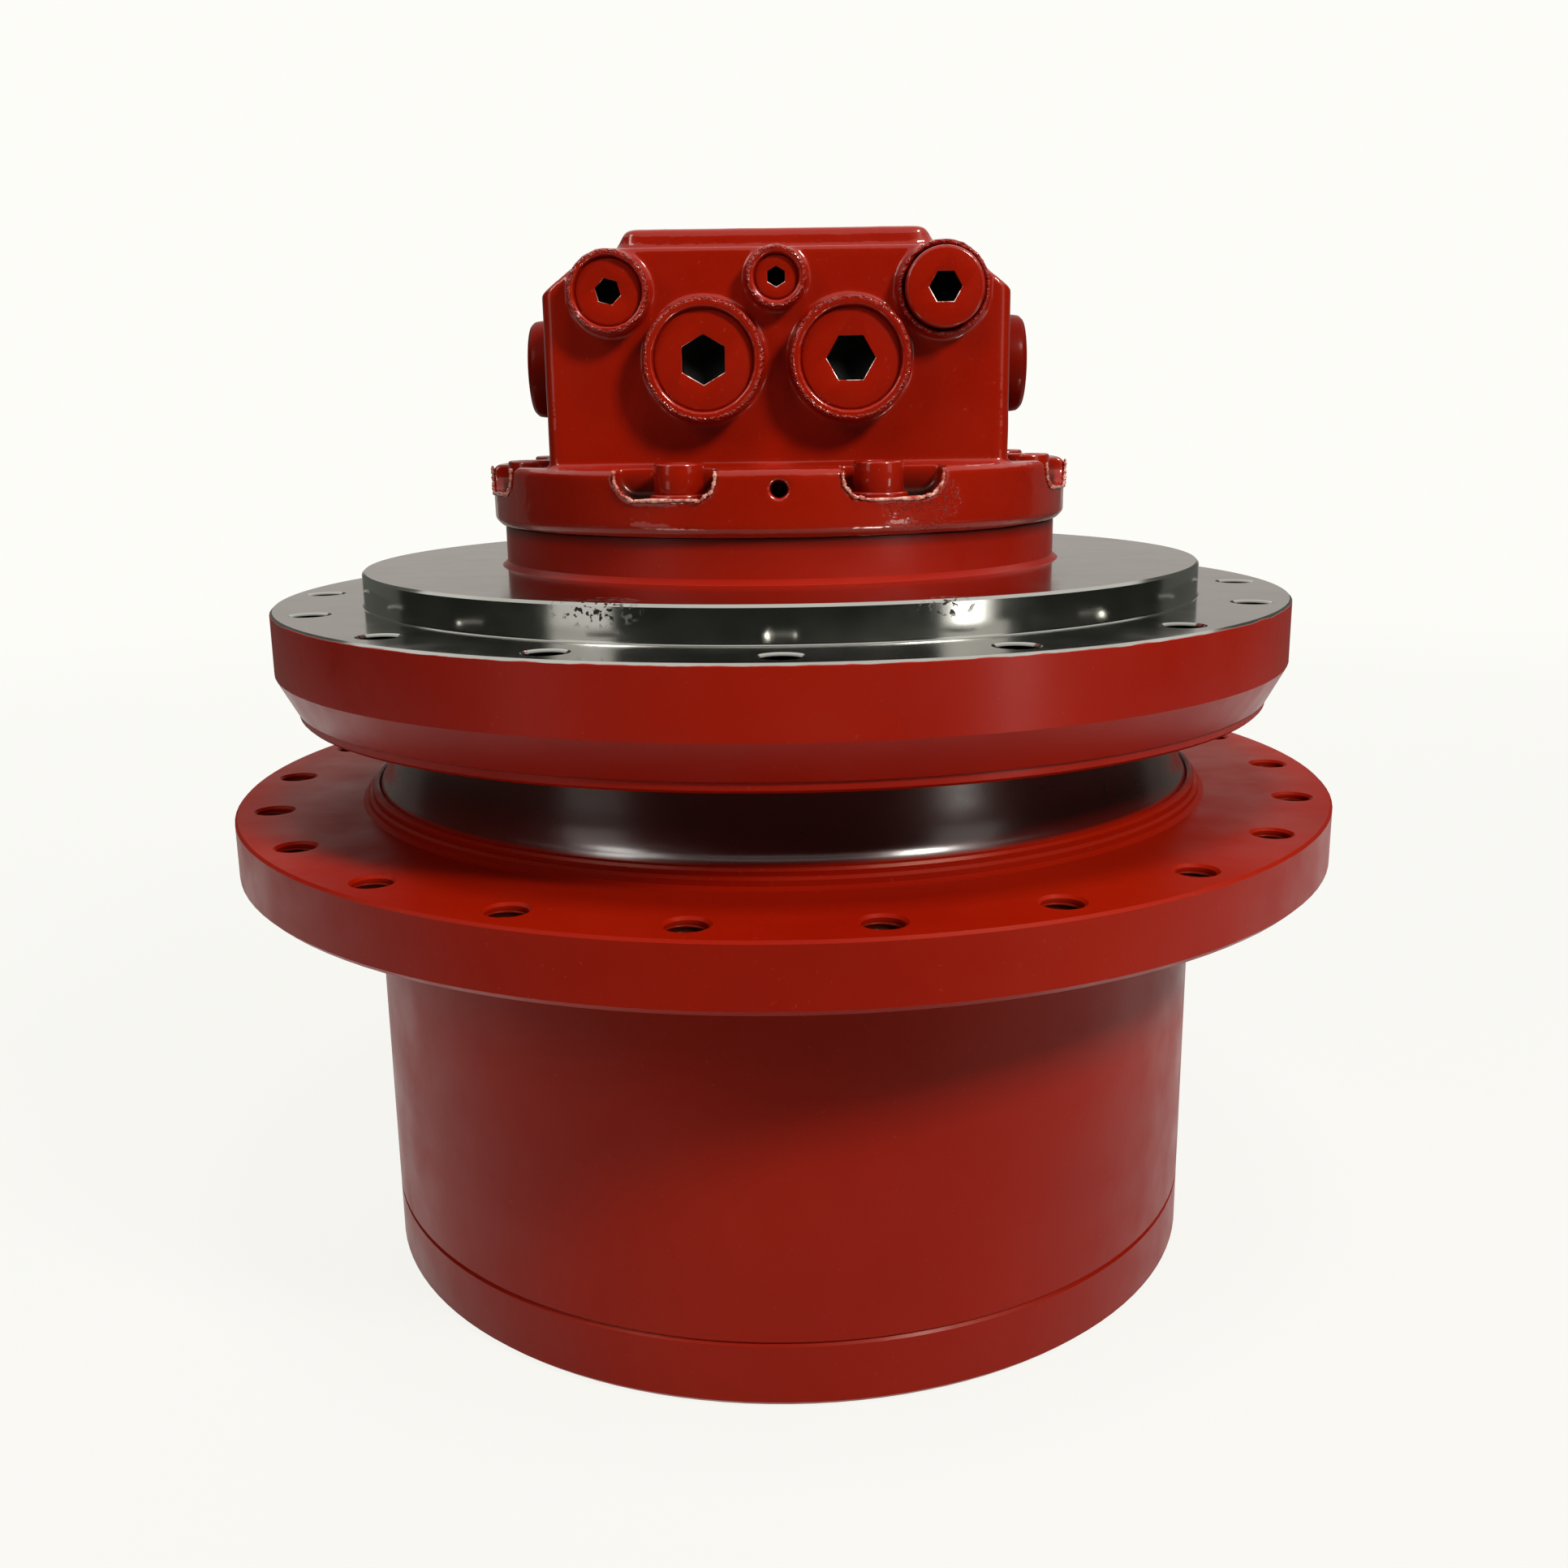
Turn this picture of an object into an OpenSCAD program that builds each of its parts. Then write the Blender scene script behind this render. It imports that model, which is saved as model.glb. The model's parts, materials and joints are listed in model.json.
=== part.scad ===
// Travel motor gearbox: an axial piston motor inside a two stage planetary
// final drive. The track frame holds the spindle flange, and the hub turns
// round it and carries the sprocket. It stands here on its end cover.
// Z is the shaft axis, from the end cover up to the port block.
// The front, with the oil ports, faces -Y.

/* [Casing] */
// Outer diameter of the hub barrel and the end cover
barrel_d = 345; // [341:1:352]
// Thickness of the end cover below the seam
cover_t = 25; // [24:0.5:30]
// Length of the barrel from the seam to the hub flange
barrel_len = 143; // [142.5:0.5:156]
// Diameter of the hub flange that carries the sprocket
hub_flange_d = 450; // [444:1:470]
// Thickness of the hub flange
hub_flange_t = 24; // [18:0.5:28]
// Diameter of the raised ring on the hub flange
hub_step_d = 348; // [346:1:360]
// Height of the raised ring on the hub flange
hub_step_h = 4; // [2:0.5:5]
// Diameter of the hub neck at its foot
neck_foot_d = 331; // [328:1:336]
// Gap between the two flanges
flange_gap = 37.6; // [37:0.2:42]
// Diameter of the spindle flange that bolts to the track frame
frame_flange_d = 411; // [406:1:424]
// Thickness of the spindle flange with its lip
frame_flange_t = 41.4; // [38:0.2:48]
// Height of the straight band on the rim of the spindle flange
frame_band_h = 25; // [18:0.5:28]
// Diameter of the lip under the spindle flange
frame_lip_d = 395; // [392:1:400]
// Diameter of the pilot that centres the spindle in the track frame
pilot_d = 340; // [330:1:346]
// Height of the pilot
pilot_h = 13; // [8:0.5:18]
// Diameter of the spindle neck above the pilot
spindle_neck_d = 225; // [224:0.5:230]
// Height of the spindle neck
spindle_neck_h = 16; // [13.5:0.5:24]

/* [Mounting holes] */
// Thread of the mounting holes in both flanges
mount_thread_d = 16; // [12:1:18]
// Number of tapped holes in the hub flange
hub_holes = 22; // [12:1:24]
// Bolt circle of the hub flange
hub_pcd = 420; // [418:1:424]
// Number of tapped holes in the spindle flange
frame_holes = 16; // [8:1:18]
// Bolt circle of the spindle flange
frame_pcd = 383; // [380:0.5:385]

/* [Port block] */
// Diameter of the port block's round flange
motor_flange_d = 233; // [232:0.5:244]
// Thickness of the port block's round flange
motor_flange_t = 24; // [22:0.5:30]
// Width of the block across its sides
block_w = 168; // [164:1:170]
// Depth of the block from front to back
block_depth = 160; // [156:1:162]
// Height of the block above its flange
block_h = 76; // [74:0.5:86]
// Radius of the block's upright corners
block_corner_r = 5; // [3:0.5:8]
// Width of the chamfer on the two top edges
block_chamfer_w = 20; // [12:0.5:22]
// Height of the chamfer on the two top edges
block_chamfer_h = 15.5; // [10:0.5:17]
// Width of the raised pad on the top
pad_w = 108; // [80:1:116]
// Depth of the raised pad
pad_depth = 126; // [100:1:130]
// Height of the raised pad
pad_h = 7.5; // [4:0.5:10]
// Bolt circle of the port block screws
block_pcd = 206; // [205:0.5:208]
// Half of the angle between the two screws on each side
block_screw_angle = 20; // [19:0.5:21]
// Thread of the port block screws
block_screw_d = 12; // [10:0.5:12]
// Width of the pocket round each screw head
pocket_w = 36; // [32:0.5:38]
// Depth of the pocket below the flange top
pocket_depth = 10.5; // [8:0.5:12]

/* [Oil ports] */
// Distance between the two main ports
main_port_gap = 52; // [50:0.5:56]
// Height of the main ports above the round flange
main_port_up = 37; // [35:0.5:40]
// Diameter of the main port bosses
main_boss_d = 43.4; // [40:0.2:46]
// How far the main port bosses stand out
main_boss_out = 12; // [8:0.5:16]
// Diameter of the main port plugs
main_plug_d = 35; // [31:0.5:36]
// Hexagon key size of the main port plugs
main_key = 15; // [12:0.5:17]
// Distance of the upper ports from the middle
upper_port_x = 59; // [57:0.5:60]
// Height of the upper ports above the round flange
upper_port_up = 60.5; // [59:0.5:61]
// Diameter of the drain port boss
drain_boss_d = 29.4; // [28:0.2:31]
// Diameter of the gauge port boss
gauge_boss_d = 33.2; // [30:0.2:34]
// Diameter of the pilot port boss
pilot_boss_d = 22; // [20:0.2:24]
// Height of the pilot port above the round flange
pilot_port_up = 65; // [64:0.5:66]

/* [Counterbalance valve] */
// Diameter of the counterbalance spool
spool_d = 26; // [22:0.5:28]
// Length of the counterbalance spool
spool_len = 116; // [110:0.5:118]
// Travel of the spool each way
spool_travel = 5; // [3:0.5:5.5]
// Diameter of the spool caps
cap_d = 38; // [36:0.5:40]
// How far the spool caps stand out of the block
cap_out = 17.5; // [15:0.5:20]

/* [Gears] */
// Module of the first stage
stage1_m = 3; // [2.9:0.05:3]
// Face width of the first stage planets
stage1_w = 28; // [22:0.5:28]
// Module of the second stage
stage2_m = 4.5; // [4.4:0.05:4.5]
// Face width of the second stage planets
stage2_w = 50; // [40:0.5:50]
// Thinning of each tooth flank, which sets the backlash
flank_gap = 0.15; // [0.13:0.01:0.2]
// Pin diameter of the first stage planets
pin1_d = 30; // [26:0.5:32]
// Needle diameter in the first stage planets
needle1_d = 6; // [5:0.5:6]
// Pin diameter of the second stage planets
pin2_d = 40; // [36:0.5:42]
// Needle diameter in the second stage planets
needle2_d = 8; // [6:0.5:8]
// Needles in each planet
needles = 18; // [12:1:18]

/* [Main bearings] */
// Bore of the two main bearings
main_bore_d = 190; // [188:0.5:192]
// Outer diameter of the two main bearings
main_outer_d = 250; // [248:0.5:252]
// Width of each main bearing
main_bearing_w = 26; // [24:0.5:26]
// Ball diameter of the main bearings
main_ball_d = 18; // [16:0.5:18.5]
// Balls in each main bearing
main_balls = 24; // [16:1:28]

/* [Motor] */
// Diameter of the drive shaft at its bearing
shaft_d = 40; // [38:0.5:41]
// Pitch circle of the pistons
piston_pcd = 76; // [76:0.5:80]
// Diameter of the pistons
piston_d = 20; // [16:0.5:20]
// Number of pistons
pistons_n = 9; // [7:1:9]
// Outer diameter of the cylinder block
cylinder_d = 108; // [106:0.5:110]
// Diameter of the swash plate
swash_d = 128; // [124:0.5:134]
// Thickness of the swash plate
swash_t = 18; // [14:0.5:18]
// Lift of the brake piston when the brake is released
brake_lift = 1.5; // [1:0.1:2]
// Friction discs in the parking brake
brake_discs = 3; // [2:1:3]
// Stroke of the two speed control piston
control_travel = 5; // [3:0.5:6]

/* [Fits] */
// Radial play of running fits
running_fit = 0.05; // [0.02:0.01:0.08]
// Gap between flat faces that move past each other
face_gap = 0.3; // [0.2:0.05:0.4]
// Clearance of screws and loose parts
loose_fit = 0.5; // [0.3:0.05:0.7]
// Radial play of rolling parts
roll_gap = 0.25; // [0.2:0.01:0.3]

/* [Hidden] */
$fn = 96;

// Finishes
paint = [0.58, 0.10, 0.06];
bare_steel = [0.62, 0.62, 0.62];
dark_steel = [0.38, 0.39, 0.41];
bronze = [0.72, 0.52, 0.28];
cast_iron = [0.33, 0.33, 0.34];
rubber = [0.08, 0.08, 0.09];
bright_steel = [0.80, 0.81, 0.83];

// Overrun of every cut
over = 2;
// Small edge chamfer of machined faces
edge = 1;
// Threads are cut at this share of their nominal size
core_share = 0.875;
// Flat to corner ratio of a hexagon
hex_corner_share = 1.1547;
// Radius of a socket head and half of its key, as shares of the thread
head_share = 0.75;
screw_key_share = 0.42;
// Share of the module that a tooth stands above its pitch circle
addendum_share = 0.97;
// Share of the module that a tooth space runs below the pitch circle
dedendum_share = 1.25;
pressure_angle = 20;
flank_steps = 3;
planets = 3;
planet_start = 90;

// Heights of the outer shell, from the ground up
seam_z = cover_t;
hub_flange_z = seam_z + barrel_len;
hub_top_z = hub_flange_z + hub_flange_t;
lip_z = hub_top_z + flange_gap;
frame_face_z = lip_z + frame_flange_t;
pilot_z = frame_face_z + pilot_h;
motor_z = pilot_z + spindle_neck_h;
block_z = motor_z + motor_flange_t;
block_top_z = block_z + block_h;

barrel_r = barrel_d / 2;
hub_flange_r = hub_flange_d / 2;
frame_flange_r = frame_flange_d / 2;
frame_lip_r = frame_lip_d / 2;
pilot_r = pilot_d / 2;
spindle_neck_r = spindle_neck_d / 2;
motor_flange_r = motor_flange_d / 2;
block_pcr = block_pcd / 2;
main_bore_r = main_bore_d / 2;
main_outer_r = main_outer_d / 2;

// Underside of the spindle flange and its labyrinth
frame_lip_h = 4.5;
frame_lip_w = 10;
frame_under_h = 2.4;
frame_cone_r = frame_lip_r + edge;
frame_cone_z = lip_z + frame_lip_h;

// Face seal pockets, one in the hub neck and one in the spindle flange
seal_pocket_r = 150;
seal_pocket_h = 15;
seal_ring_w = 14;
neck_gap = 3.6;
neck_top_z = lip_z - neck_gap;
neck_taper = 3.5;
seal_floor_z = neck_top_z - seal_pocket_h;
seal_roof_z = neck_top_z + neck_gap / 2 + seal_pocket_h + neck_gap / 2;

// Main bearings, which hang from a shoulder on the spindle
bearing_gap = 4;
shoulder_w = 16.8;
shoulder_r = main_bore_r + shoulder_w;
upper_top_z = seal_floor_z;
upper_z = upper_top_z - main_bearing_w;
lower_top_z = upper_z - bearing_gap;
lower_z = lower_top_z - main_bearing_w;
main_ball_r = main_ball_d / 2;
main_pitch_r = (main_bore_r + main_outer_r) / 2;
race_gap = 8;

// First stage, carried up from the seam
gear_gap = 1.5;
cover_spigot_h = 5;
cover_spigot_r = 150;
cover_spigot_w = 8;
stage1_z = seam_z + cover_spigot_h + gear_gap + edge / 2;
ring1_z = stage1_z - edge;
ring1_w = stage1_w + 2 * edge;
carrier1_z = stage1_z + stage1_w + gear_gap;
carrier1_t = 12;
ring1_teeth = 93;
sun1_teeth = 15;
planet1_teeth = (ring1_teeth - sun1_teeth) / 2;
arm1_r = stage1_m * (sun1_teeth + planet1_teeth) / 2;
planet1_bore_r = pin1_d / 2 + needle1_d + roll_gap;

// Second stage, hung under the spindle end
carrier2_t = 22;
carrier2_step = 4;
carrier2_plate_t = 5;
spindle_end_z = lower_z;
carrier2_z = spindle_end_z - carrier2_t;
stage2_z = carrier2_z - gear_gap - stage2_w;
carrier2_low_z = stage2_z - gear_gap - carrier2_plate_t;
ring2_z = stage2_z - gear_gap;
ring2_w = stage2_w + 2 * gear_gap;
ring2_teeth = 63;
sun2_teeth = 15;
planet2_teeth = (ring2_teeth - sun2_teeth) / 2;
arm2_r = stage2_m * (sun2_teeth + planet2_teeth) / 2;
planet2_bore_r = pin2_d / 2 + needle2_d + roll_gap;
ring_relief_r = ring2_teeth * stage2_m / 2 + dedendum_share * stage2_m + edge;
post_r = 14;
post_pcr = 102;
carrier2_r = 128;

// Screws that hold the second carrier to the spindle
carrier_screw_d = 12;
carrier_screw_pcr = 74;
carrier_screw_angle = 9;
carrier_screw_grip = 22;

// Motor housing bores in the spindle
seal_seat_r = 31;
seal_seat_h = 8;
shaft_bearing_r = 45;
shaft_bearing_w = 23;
swash_bore_r = 74;
brake_bore_r = 86;
brake_head_r = 92;
shaft_bearing_z = spindle_end_z + seal_seat_h;
swash_floor_z = shaft_bearing_z + shaft_bearing_w + 2 * edge;
swash_lift = 8;
swash_z = swash_floor_z + swash_lift;
shoe_z = swash_z + swash_t;

// Rotating group, set at its neutral position
shoe_t = 3;
shoe_r = 12;
ball_r = 7;
retainer_t = 3;
retainer_z = shoe_z + shoe_t + running_fit;
ball_z = shoe_z + 4 * shoe_t;
piston_z = ball_z - shoe_t;
cylinder_up = 12;
valve_plate_t = 6;
valve_plate_r = 52;
valve_z = motor_z - valve_plate_t;
cylinder_top_z = valve_z - face_gap;
cylinder_z = piston_z + cylinder_up;
piston_room = 7;
piston_down = 25.2;
piston_top_z = cylinder_top_z - piston_down;
shaft_r = shaft_d / 2;
spline_r = shaft_r + 2 * edge;
spline_teeth = 16;
spline_len = 30;
lug_depth = 4;

// Parking brake stack
plate_t = 3;
plate_gap = 0.2;
brake_z = cylinder_z + plate_t;
stack_h = brake_discs * 2 * (plate_t + plate_gap) + plate_t;
brake_piston_z = brake_z + stack_h + plate_gap;
block_spigot_h = 6;
block_spigot_w = 12;
brake_spring_t = 2.2;
brake_spring_h = 2 * (brake_spring_t + brake_lift) + 1.5 * edge;
brake_piston_h = motor_z - block_spigot_h - brake_spring_h - brake_piston_z;
brake_step_h = 6;
oil_gap = 3;
brake_inner_r = 60;
disc_outer_r = 80;
plate_inner_r = 63;
brake_lugs = 12;
brake_spring_z = brake_piston_z + brake_piston_h;

// Rear shaft bearing in the port block
rear_bearing_r = 26;
rear_bearing_w = 15;
rear_journal_r = 12.5;

// Port block passages
passage_r = 8;
passage_x = 40;
main_port_r = 14;
cap_thread_d = 30;
cap_thread_len = block_w / 2 - spool_len / 2 - spool_travel - edge;
spool_z = block_z + main_port_up;
cross_r = 4;
boss_back = 40;
recess_depth = 4.5;
plug_len = 18;
relief_x = 32;
relief_r = 11;
relief_len = 34;
relief_head_r = 15;
relief_head_t = 11;

// Points of one tooth form, which also cuts the spaces of a ring gear
function involute(a) = tan(a) * 180 / PI - a;
function half_tooth(z, m, r, thin) =
  let (base_r = m * z / 2 * cos(pressure_angle))
  90 / z - thin / (m * z / 2) * 180 / PI + involute(pressure_angle)
  - involute(acos(min(1, base_r / r)));
function tooth_radius(r_in, r_out, i) = r_in + (r_out - r_in) * i / flank_steps;
function gear_points(z, m, r_in, r_out, thin, turn) = [
  for (tooth = [0:z - 1]) each [
    for (i = [0:flank_steps])
      let (r = tooth_radius(r_in, r_out, i),
           a = turn + tooth * 360 / z - half_tooth(z, m, r, thin))
      [r * cos(a), r * sin(a)],
    for (i = [flank_steps:-1:0])
      let (r = tooth_radius(r_in, r_out, i),
           a = turn + tooth * 360 / z + half_tooth(z, m, r, thin))
      [r * cos(a), r * sin(a)]
  ]
];
module outer_gear(z, m, w, turn) {
  linear_extrude(w)
    polygon(gear_points(z, m, m * z / 2 - dedendum_share * m, m * z / 2 + addendum_share * m,
                        flank_gap, turn));
}
module ring_space(z, m, w, turn) {
  linear_extrude(w)
    polygon(gear_points(z, m, m * z / 2 - addendum_share * m, m * z / 2 + dedendum_share * m,
                        -flank_gap, turn));
}

// Square splines, whose lugs fill this share of the pitch
lug_share = 0.5;
module lugs(n, r_in, r_out, w, slack) {
  linear_extrude(w)
    polygon([for (i = [0:n - 1]) each [
      for (c = [[r_in, -1], [r_out, -1], [r_out, 1], [r_in, 1]])
        let (a = i * 360 / n + c[1] * (lug_share * 180 / n + slack / r_out * 180 / PI))
        [c[0] * cos(a), c[0] * sin(a)]
    ]]);
}
module ring(r_out, r_in, h) {
  difference() {
    cylinder(r = r_out, h = h);
    translate([0, 0, -over]) cylinder(r = r_in, h = h + 2 * over);
  }
}
module on_circle(n, r, start) {
  for (i = [0:n - 1]) rotate([0, 0, start + i * 360 / n]) translate([r, 0, 0]) children();
}
module at_planets(arm_r) {
  on_circle(planets, arm_r, planet_start) children();
}
// A tapped hole from a face at z = 0 downwards, with its mouth chamfered
module tapped_hole(d, depth) {
  translate([0, 0, -depth]) cylinder(d = core_share * d, h = depth + over);
  translate([0, 0, -(d - core_share * d) / 2])
    cylinder(r1 = core_share * d / 2, r2 = d / 2 + over, h = (d - core_share * d) / 2 + over);
}
// A socket head screw, head down to z = 0 and shank below
module cap_screw(d, shank, head_h) {
  difference() {
    union() {
      cylinder(r = head_share * d, h = head_h - edge);
      translate([0, 0, head_h - edge])
        cylinder(r1 = head_share * d, r2 = head_share * d - edge, h = edge);
      translate([0, 0, -shank]) cylinder(d = core_share * d, h = shank);
    }
    translate([0, 0, head_h / 2])
      cylinder(r = screw_key_share * hex_corner_share * d, h = head_h, $fn = 6);
  }
}
module hex_key(af, depth) {
  translate([0, 0, -depth]) cylinder(d = af * hex_corner_share, h = depth + over, $fn = 6);
}
// Turns a thing that looks up so that it looks out of the block's front
module front_port(x, z, y) {
  translate([x, y, z]) rotate([90, 0, 0]) children();
}

// The spindle: frame flange, pilot, bearing seats and motor housing in one
frame_thread_len = 33;
pocket_wall_r = 128;
brake_groove_r = 90;
pivot_x = 57;
pivot_back = 8;
pivot_r = 10;
control_y = 60;
control_r = 8;
control_len = 21;
module pivot_places() {
  for (side = [-1, 1])
    translate([side * pivot_x, -pivot_back, swash_floor_z + swash_lift / 2]) children();
}
module spindle() color(paint) difference() {
  rotate_extrude() polygon([
    [seal_seat_r, spindle_end_z], [main_bore_r, spindle_end_z], [main_bore_r, upper_top_z],
    [shoulder_r, upper_top_z], [pocket_wall_r, lip_z], [pocket_wall_r, seal_roof_z],
    [seal_pocket_r, seal_roof_z], [seal_pocket_r, lip_z + frame_under_h],
    [frame_lip_r - frame_lip_w, lip_z + frame_under_h],
    [frame_lip_r - frame_lip_w + frame_under_h, lip_z], [frame_lip_r - edge, lip_z],
    [frame_lip_r, lip_z + edge], [frame_lip_r, frame_cone_z - edge],
    [frame_cone_r, frame_cone_z - edge / 2],
    [frame_flange_r - edge, frame_face_z - frame_band_h - edge],
    [frame_flange_r, frame_face_z - frame_band_h + edge],
    [frame_flange_r, frame_face_z - edge], [frame_flange_r - edge, frame_face_z],
    [pilot_r, frame_face_z], [pilot_r, pilot_z - edge], [pilot_r - edge, pilot_z],
    [spindle_neck_r + 2 * edge, pilot_z], [spindle_neck_r, pilot_z + 2 * edge],
    [spindle_neck_r, motor_z], [brake_head_r, motor_z],
    [brake_head_r, brake_piston_z + brake_step_h - oil_gap],
    [brake_bore_r, brake_piston_z + brake_step_h - oil_gap], [brake_bore_r, brake_z],
    [swash_bore_r, brake_z], [swash_bore_r, swash_floor_z],
    [shaft_bearing_r, swash_floor_z], [shaft_bearing_r, shaft_bearing_z],
    [seal_seat_r, shaft_bearing_z]
  ]);
  translate([0, 0, frame_face_z])
    on_circle(frame_holes, frame_pcd / 2, -planet_start)
      tapped_hole(mount_thread_d, frame_thread_len);
  translate([0, 0, motor_z]) block_screw_places() tapped_hole(block_screw_d, block_thread_len);
  translate([0, 0, brake_z])
    lugs(brake_lugs, brake_bore_r - over, brake_groove_r, stack_h, edge / 2);
  pivot_places() sphere(r = pivot_r + running_fit);
  translate([0, control_y, swash_z - control_len - control_travel - 2 * face_gap])
    cylinder(r = control_r + running_fit, h = control_len + control_travel);
  rotate([0, 0, planet_start]) carrier_screw_places()
    translate([0, 0, spindle_end_z - over])
      cylinder(d = core_share * carrier_screw_d, h = carrier_screw_grip + 2 * over);
}

// Port block: the motor's rear flange and the valve block, one casting
block_thread_len = 26;
block_washer_r = 10.5;
block_washer_t = 2.5;
rear_relief_r = 18;
o_ring_r = 1.5;
pocket_corner_r = 8;
pocket_in = 11;
pocket_shift = 4.7;
module block_screw_places() {
  for (quarter = [0:3]) rotate([0, 0, 90 * quarter]) for (side = [-1, 1])
    rotate([0, 0, side * block_screw_angle]) translate([0, -block_pcr, 0])
      rotate([0, 0, -side * block_screw_angle]) children();
}
// Cross section of a screw pocket, round in its lower corners
module pocket_shape(h) {
  translate([pocket_corner_r - pocket_w / 2, 0]) square([pocket_w - 2 * pocket_corner_r, h]);
  translate([-pocket_w / 2, pocket_corner_r]) square([pocket_w, h - pocket_corner_r]);
  for (side = [-1, 1])
    translate([side * (pocket_w / 2 - pocket_corner_r), pocket_corner_r])
      circle(r = pocket_corner_r);
}
module block_pockets() {
  screw_x = block_pcr * sin(block_screw_angle);
  screw_y = block_pcr * cos(block_screw_angle);
  for (quarter = [0:3]) rotate([0, 0, 90 * quarter]) for (side = [-1, 1])
    translate([side * (screw_x + pocket_shift), pocket_in - screw_y, block_z - pocket_depth])
      rotate([90, 0, 0]) linear_extrude(pocket_w) pocket_shape(pocket_depth + over);
  // Flat seats of the washers
  translate([0, 0, block_z - pocket_depth]) block_screw_places()
    cylinder(r = block_washer_r + loose_fit, h = pocket_depth + over);
}
module block_outline(w, depth, r) {
  square([w - 2 * r, depth], center = true);
  square([w, depth - 2 * r], center = true);
  for (sx = [-1, 1], sy = [-1, 1])
    translate([sx * (w / 2 - r), sy * (depth / 2 - r)]) circle(r = r);
}
module block_body() {
  intersection() {
    translate([0, 0, block_z - edge]) linear_extrude(block_h + edge)
      block_outline(block_w, block_depth, block_corner_r);
    translate([0, block_depth, 0]) rotate([90, 0, 0]) linear_extrude(2 * block_depth) polygon([
      [-block_w / 2, block_z - edge], [block_w / 2, block_z - edge],
      [block_w / 2, block_top_z - block_chamfer_h],
      [block_w / 2 - block_chamfer_w, block_top_z],
      [block_chamfer_w - block_w / 2, block_top_z],
      [-block_w / 2, block_top_z - block_chamfer_h]
    ]);
  }
}
module boss(x, z, d, out) {
  front_port(x, z, -block_depth / 2 + boss_back) cylinder(d = d, h = boss_back + out - edge);
  front_port(x, z, -block_depth / 2 - out + edge)
    cylinder(r1 = d / 2, r2 = d / 2 - edge, h = edge);
}
module plug_seat(x, z, out, d, core_r, depth) {
  front_port(x, z, -block_depth / 2 - out) {
    translate([0, 0, -recess_depth]) cylinder(d = d + loose_fit, h = recess_depth + over);
    translate([0, 0, -depth]) cylinder(r = core_r, h = depth);
  }
}
pad_corner_r = 10;
pad_slope = 4.7;
drain_out = 10;
gauge_out = 6;
pilot_out = 8;
drain_plug_d = 23;
gauge_plug_d = 27.8;
pilot_plug_d = 15;
gauge_hole_d = 6;
side_hole_up = 17;
side_hole_depth = 12;
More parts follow.
